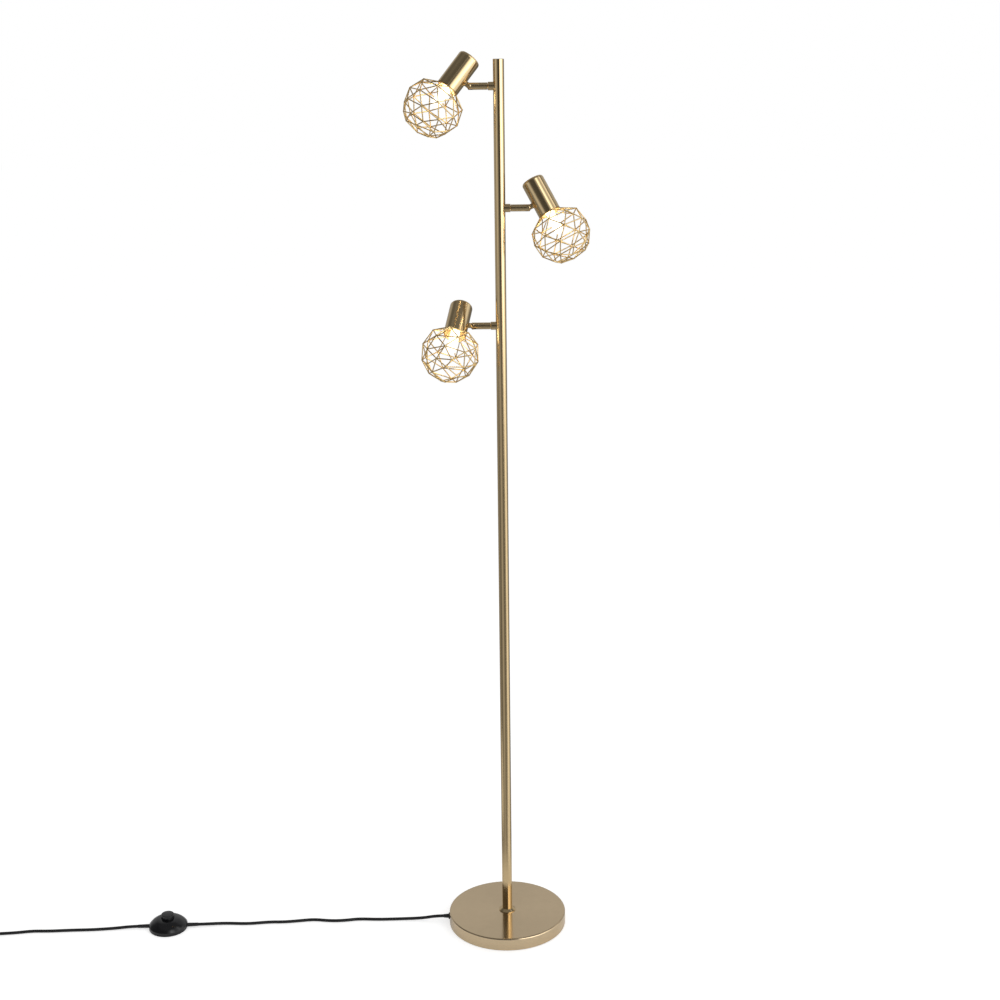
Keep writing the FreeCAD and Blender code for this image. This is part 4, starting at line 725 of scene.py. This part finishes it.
def cage_net():
    """Hubs, and the pairs of them that a wire joins."""
    step = 360.0 / CAGE_RING_HUBS
    hubs = []
    rows = []
    for hub in range(CAGE_RING_HUBS):
        angle = radians(step * (hub + 0.5))
        hubs.append(Vector((NECK_RADIUS * cos(angle), NECK_RADIUS * sin(angle), -NECK_DROP)))
    rows.append(list(range(CAGE_RING_HUBS)))
    for row, polar in enumerate(CAGE_RING_ANGLES):
        first = len(hubs)
        for hub in range(CAGE_RING_HUBS):
            hubs.append(on_ball(polar, step * (hub + 0.5 * (row % 2))))
        rows.append(list(range(first, len(hubs))))
    first = len(hubs)
    for hub in range(CAGE_END_HUBS):
        hubs.append(on_ball(CAGE_END_ANGLE, 360.0 / CAGE_END_HUBS * hub + CAGE_END_TWIST))
    end = list(range(first, len(hubs)))
    wires = []
    for row, (upper, lower) in enumerate(zip(rows, rows[1:])):
        shift = 1 if row % 2 == 0 else -1
        for hub in range(CAGE_RING_HUBS):
            wires.append((upper[hub], lower[hub]))
            wires.append((upper[hub], lower[(hub + shift) % CAGE_RING_HUBS]))
            wires.append((lower[hub], lower[(hub + 1) % CAGE_RING_HUBS]))
    for hub in range(CAGE_END_HUBS):
        wires.append((end[hub], end[(hub + 1) % CAGE_END_HUBS]))
        for neighbour in (-1, 0, 1):
            wires.append((end[hub], rows[-1][(2 * hub + neighbour) % CAGE_RING_HUBS]))
    return hubs, wires


wire_brass = mottled("wire_brass", (0.82, 0.60, 0.28), 1.0, 0.28, 120.0,
                     (0.74, 0.53, 0.23), (0.88, 0.66, 0.33), rough=(0.22, 0.34))
sleeve_brass = mottled("sleeve_brass", (0.80, 0.66, 0.42), 1.0, 0.4, 160.0,
                       (0.74, 0.60, 0.37), (0.84, 0.70, 0.46))


def cage_tree():
    """Node tree that gives every wire its round section and every hub its weld."""
    tree = bpy.data.node_groups.new("cage_welding", "GeometryNodeTree")
    face = tree.interface
    face.new_socket("Net", in_out="INPUT", socket_type="NodeSocketGeometry")
    for title, kind in (("Wire radius", "NodeSocketFloat"), ("Wire facets", "NodeSocketInt"),
                        ("Weld radius", "NodeSocketFloat"), ("Weld spread", "NodeSocketFloat"),
                        ("Seed", "NodeSocketInt"), ("Finish", "NodeSocketMaterial")):
        face.new_socket(title, in_out="INPUT", socket_type=kind)
    face.new_socket("Cage", in_out="OUTPUT", socket_type="NodeSocketGeometry")
    nodes, links = tree.nodes, tree.links
    given = nodes.new("NodeGroupInput")
    result = nodes.new("NodeGroupOutput")
    lines = nodes.new("GeometryNodeMeshToCurve")
    section = nodes.new("GeometryNodeCurvePrimitiveCircle")
    drawn = nodes.new("GeometryNodeCurveToMesh")
    drawn.inputs["Fill Caps"].default_value = True
    smooth = nodes.new("GeometryNodeSetShadeSmooth")
    bead = nodes.new("GeometryNodeMeshIcoSphere")
    bead.inputs["Subdivisions"].default_value = BEAD_SUBDIVISIONS
    round_bead = nodes.new("GeometryNodeSetShadeSmooth")
    is_weld = nodes.new("GeometryNodeInputNamedAttribute")
    is_weld.data_type = "BOOLEAN"
    is_weld.inputs["Name"].default_value = "weld"
    size = nodes.new("FunctionNodeRandomValue")
    size.data_type = "FLOAT"
    smallest, largest, any_size = size.inputs[2], size.inputs[3], size.outputs[1]
    largest.default_value = 1.0
    beads = nodes.new("GeometryNodeInstanceOnPoints")
    joined = nodes.new("GeometryNodeJoinGeometry")
    real = nodes.new("GeometryNodeRealizeInstances")
    finished = nodes.new("GeometryNodeSetMaterial")
    links.new(given.outputs["Net"], lines.inputs["Mesh"])
    links.new(given.outputs["Wire facets"], section.inputs["Resolution"])
    links.new(given.outputs["Wire radius"], section.inputs["Radius"])
    links.new(lines.outputs["Curve"], drawn.inputs["Curve"])
    links.new(section.outputs["Curve"], drawn.inputs["Profile Curve"])
    links.new(drawn.outputs["Mesh"], smooth.inputs["Geometry"])
    links.new(given.outputs["Weld radius"], bead.inputs["Radius"])
    links.new(bead.outputs["Mesh"], round_bead.inputs["Geometry"])
    links.new(given.outputs["Net"], beads.inputs["Points"])
    links.new(is_weld.outputs["Attribute"], beads.inputs["Selection"])
    links.new(round_bead.outputs["Geometry"], beads.inputs["Instance"])
    links.new(calculated(tree, "SUBTRACT", 1.0, given.outputs["Weld spread"]), smallest)
    links.new(given.outputs["Seed"], size.inputs["Seed"])
    links.new(any_size, beads.inputs["Scale"])
    links.new(smooth.outputs["Geometry"], joined.inputs[0])
    links.new(beads.outputs["Instances"], joined.inputs[0])
    links.new(joined.outputs[0], real.inputs["Geometry"])
    links.new(real.outputs["Geometry"], finished.inputs["Geometry"])
    links.new(given.outputs["Finish"], finished.inputs["Material"])
    links.new(finished.outputs["Geometry"], result.inputs["Cage"])
    return tree


def make_plain(piece, tree, values):
    """Runs a node tree on the piece and keeps the result as a plain mesh."""
    modifier = piece.modifiers.new("making", "NODES")
    modifier.node_group = tree
    for item in tree.interface.items_tree:
        if item.in_out == "INPUT" and item.name in values:
            modifier[item.identifier] = values[item.name]
    piece.update_tag()
    graph = bpy.context.evaluated_depsgraph_get()
    mesh = bpy.data.meshes.new_from_object(piece.evaluated_get(graph), depsgraph=graph)
    piece.modifiers.remove(modifier)
    piece.data = mesh


welding = cage_tree()
hubs, wires = cage_net()
first = len(hubs)
for step in range(NECK_SEGMENTS):
    angle = 2 * pi * step / NECK_SEGMENTS
    hubs.append(Vector((NECK_RADIUS * cos(angle), NECK_RADIUS * sin(angle), -NECK_DROP)))
    wires.append((first + step, first + (step + 1) % NECK_SEGMENTS))
for number in range(3):
    frame_of_cage = (cup_frame(number)
                     @ Matrix.Rotation(radians(-ARM_SIDES[number] * CAGE_TURN[number]), 4, "Z"))
    net = bpy.data.meshes.new("cage_net")
    net.from_pydata([frame_of_cage @ point for point in hubs], wires, [])
    weld = net.attributes.new("weld", "BOOLEAN", "POINT")
    weld.data.foreach_set("value", [index < first for index in range(len(hubs))])
    cage = bpy.data.objects.new("cage_%d" % (number + 1), net)
    bpy.context.scene.collection.objects.link(cage)
    make_plain(cage, welding, {"Wire radius": WIRE_RADIUS, "Wire facets": WIRE_FACETS,
                               "Weld radius": WELD_RADIUS, "Weld spread": WELD_SPREAD,
                               "Seed": WELD_SEED + number, "Finish": wire_brass})
    sleeve = lathe("cage_sleeve_%d" % (number + 1), [
        (SLEEVE_INNER, -NECK_DROP), (SLEEVE_OUTER, -NECK_DROP),
        (SLEEVE_OUTER, SLEEVE_RISE), (SLEEVE_INNER, SLEEVE_RISE)],
        NECK_SEGMENTS, axis=frame_of_cage)
    sleeve.data.materials.append(sleeve_brass)
    for piece in (cage, sleeve):
        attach(piece, "head_%d" % (number + 1))
        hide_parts("wire_cage_%d" % (number + 1))


# Foot switch: a low satin black dome of moulded plastic, screwed to a base plate
# from below, with a round push button in its middle. Tapered rubber guards hold
# the cord at both sides.

switch_plastic = soft_black("switch_plastic", (0.004, 0.004, 0.005), (0.007, 0.007, 0.008),
                            (0.14, 0.19), grain=2600.0, depth=0.05)
dress(switch_plastic, "switch_housing", "switch_base", "switch_button")
dress(bushing_rubber, "switch_guards")
dress(zinc_steel, "switch_screws", "switch_spring")
block_plastic = mottled("block_plastic", (0.55, 0.53, 0.48), 0.0, 0.5, 400.0,
                        (0.50, 0.48, 0.43), (0.60, 0.58, 0.53))
dress(block_plastic, "switch_block")


# Plug: flat two-pin plug with a moulded tail, black like the cord, lying on the
# floor at the end of the coil. Its pins are nickel-plated brass.

plug_rubber = soft_black("plug_rubber", (0.010, 0.010, 0.011), (0.016, 0.016, 0.017),
                         (0.36, 0.48), grain=1000.0, depth=0.3)
dress(plug_rubber, "plug_body")
nickel = mottled("nickel", (0.66, 0.62, 0.56), 1.0, 0.2, 500.0,
                 (0.60, 0.56, 0.50), (0.70, 0.67, 0.61), rough=(0.14, 0.28))
dress(nickel, "plug_pins")


bpy.context.scene.view_settings.view_transform = "Standard"
low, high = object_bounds()
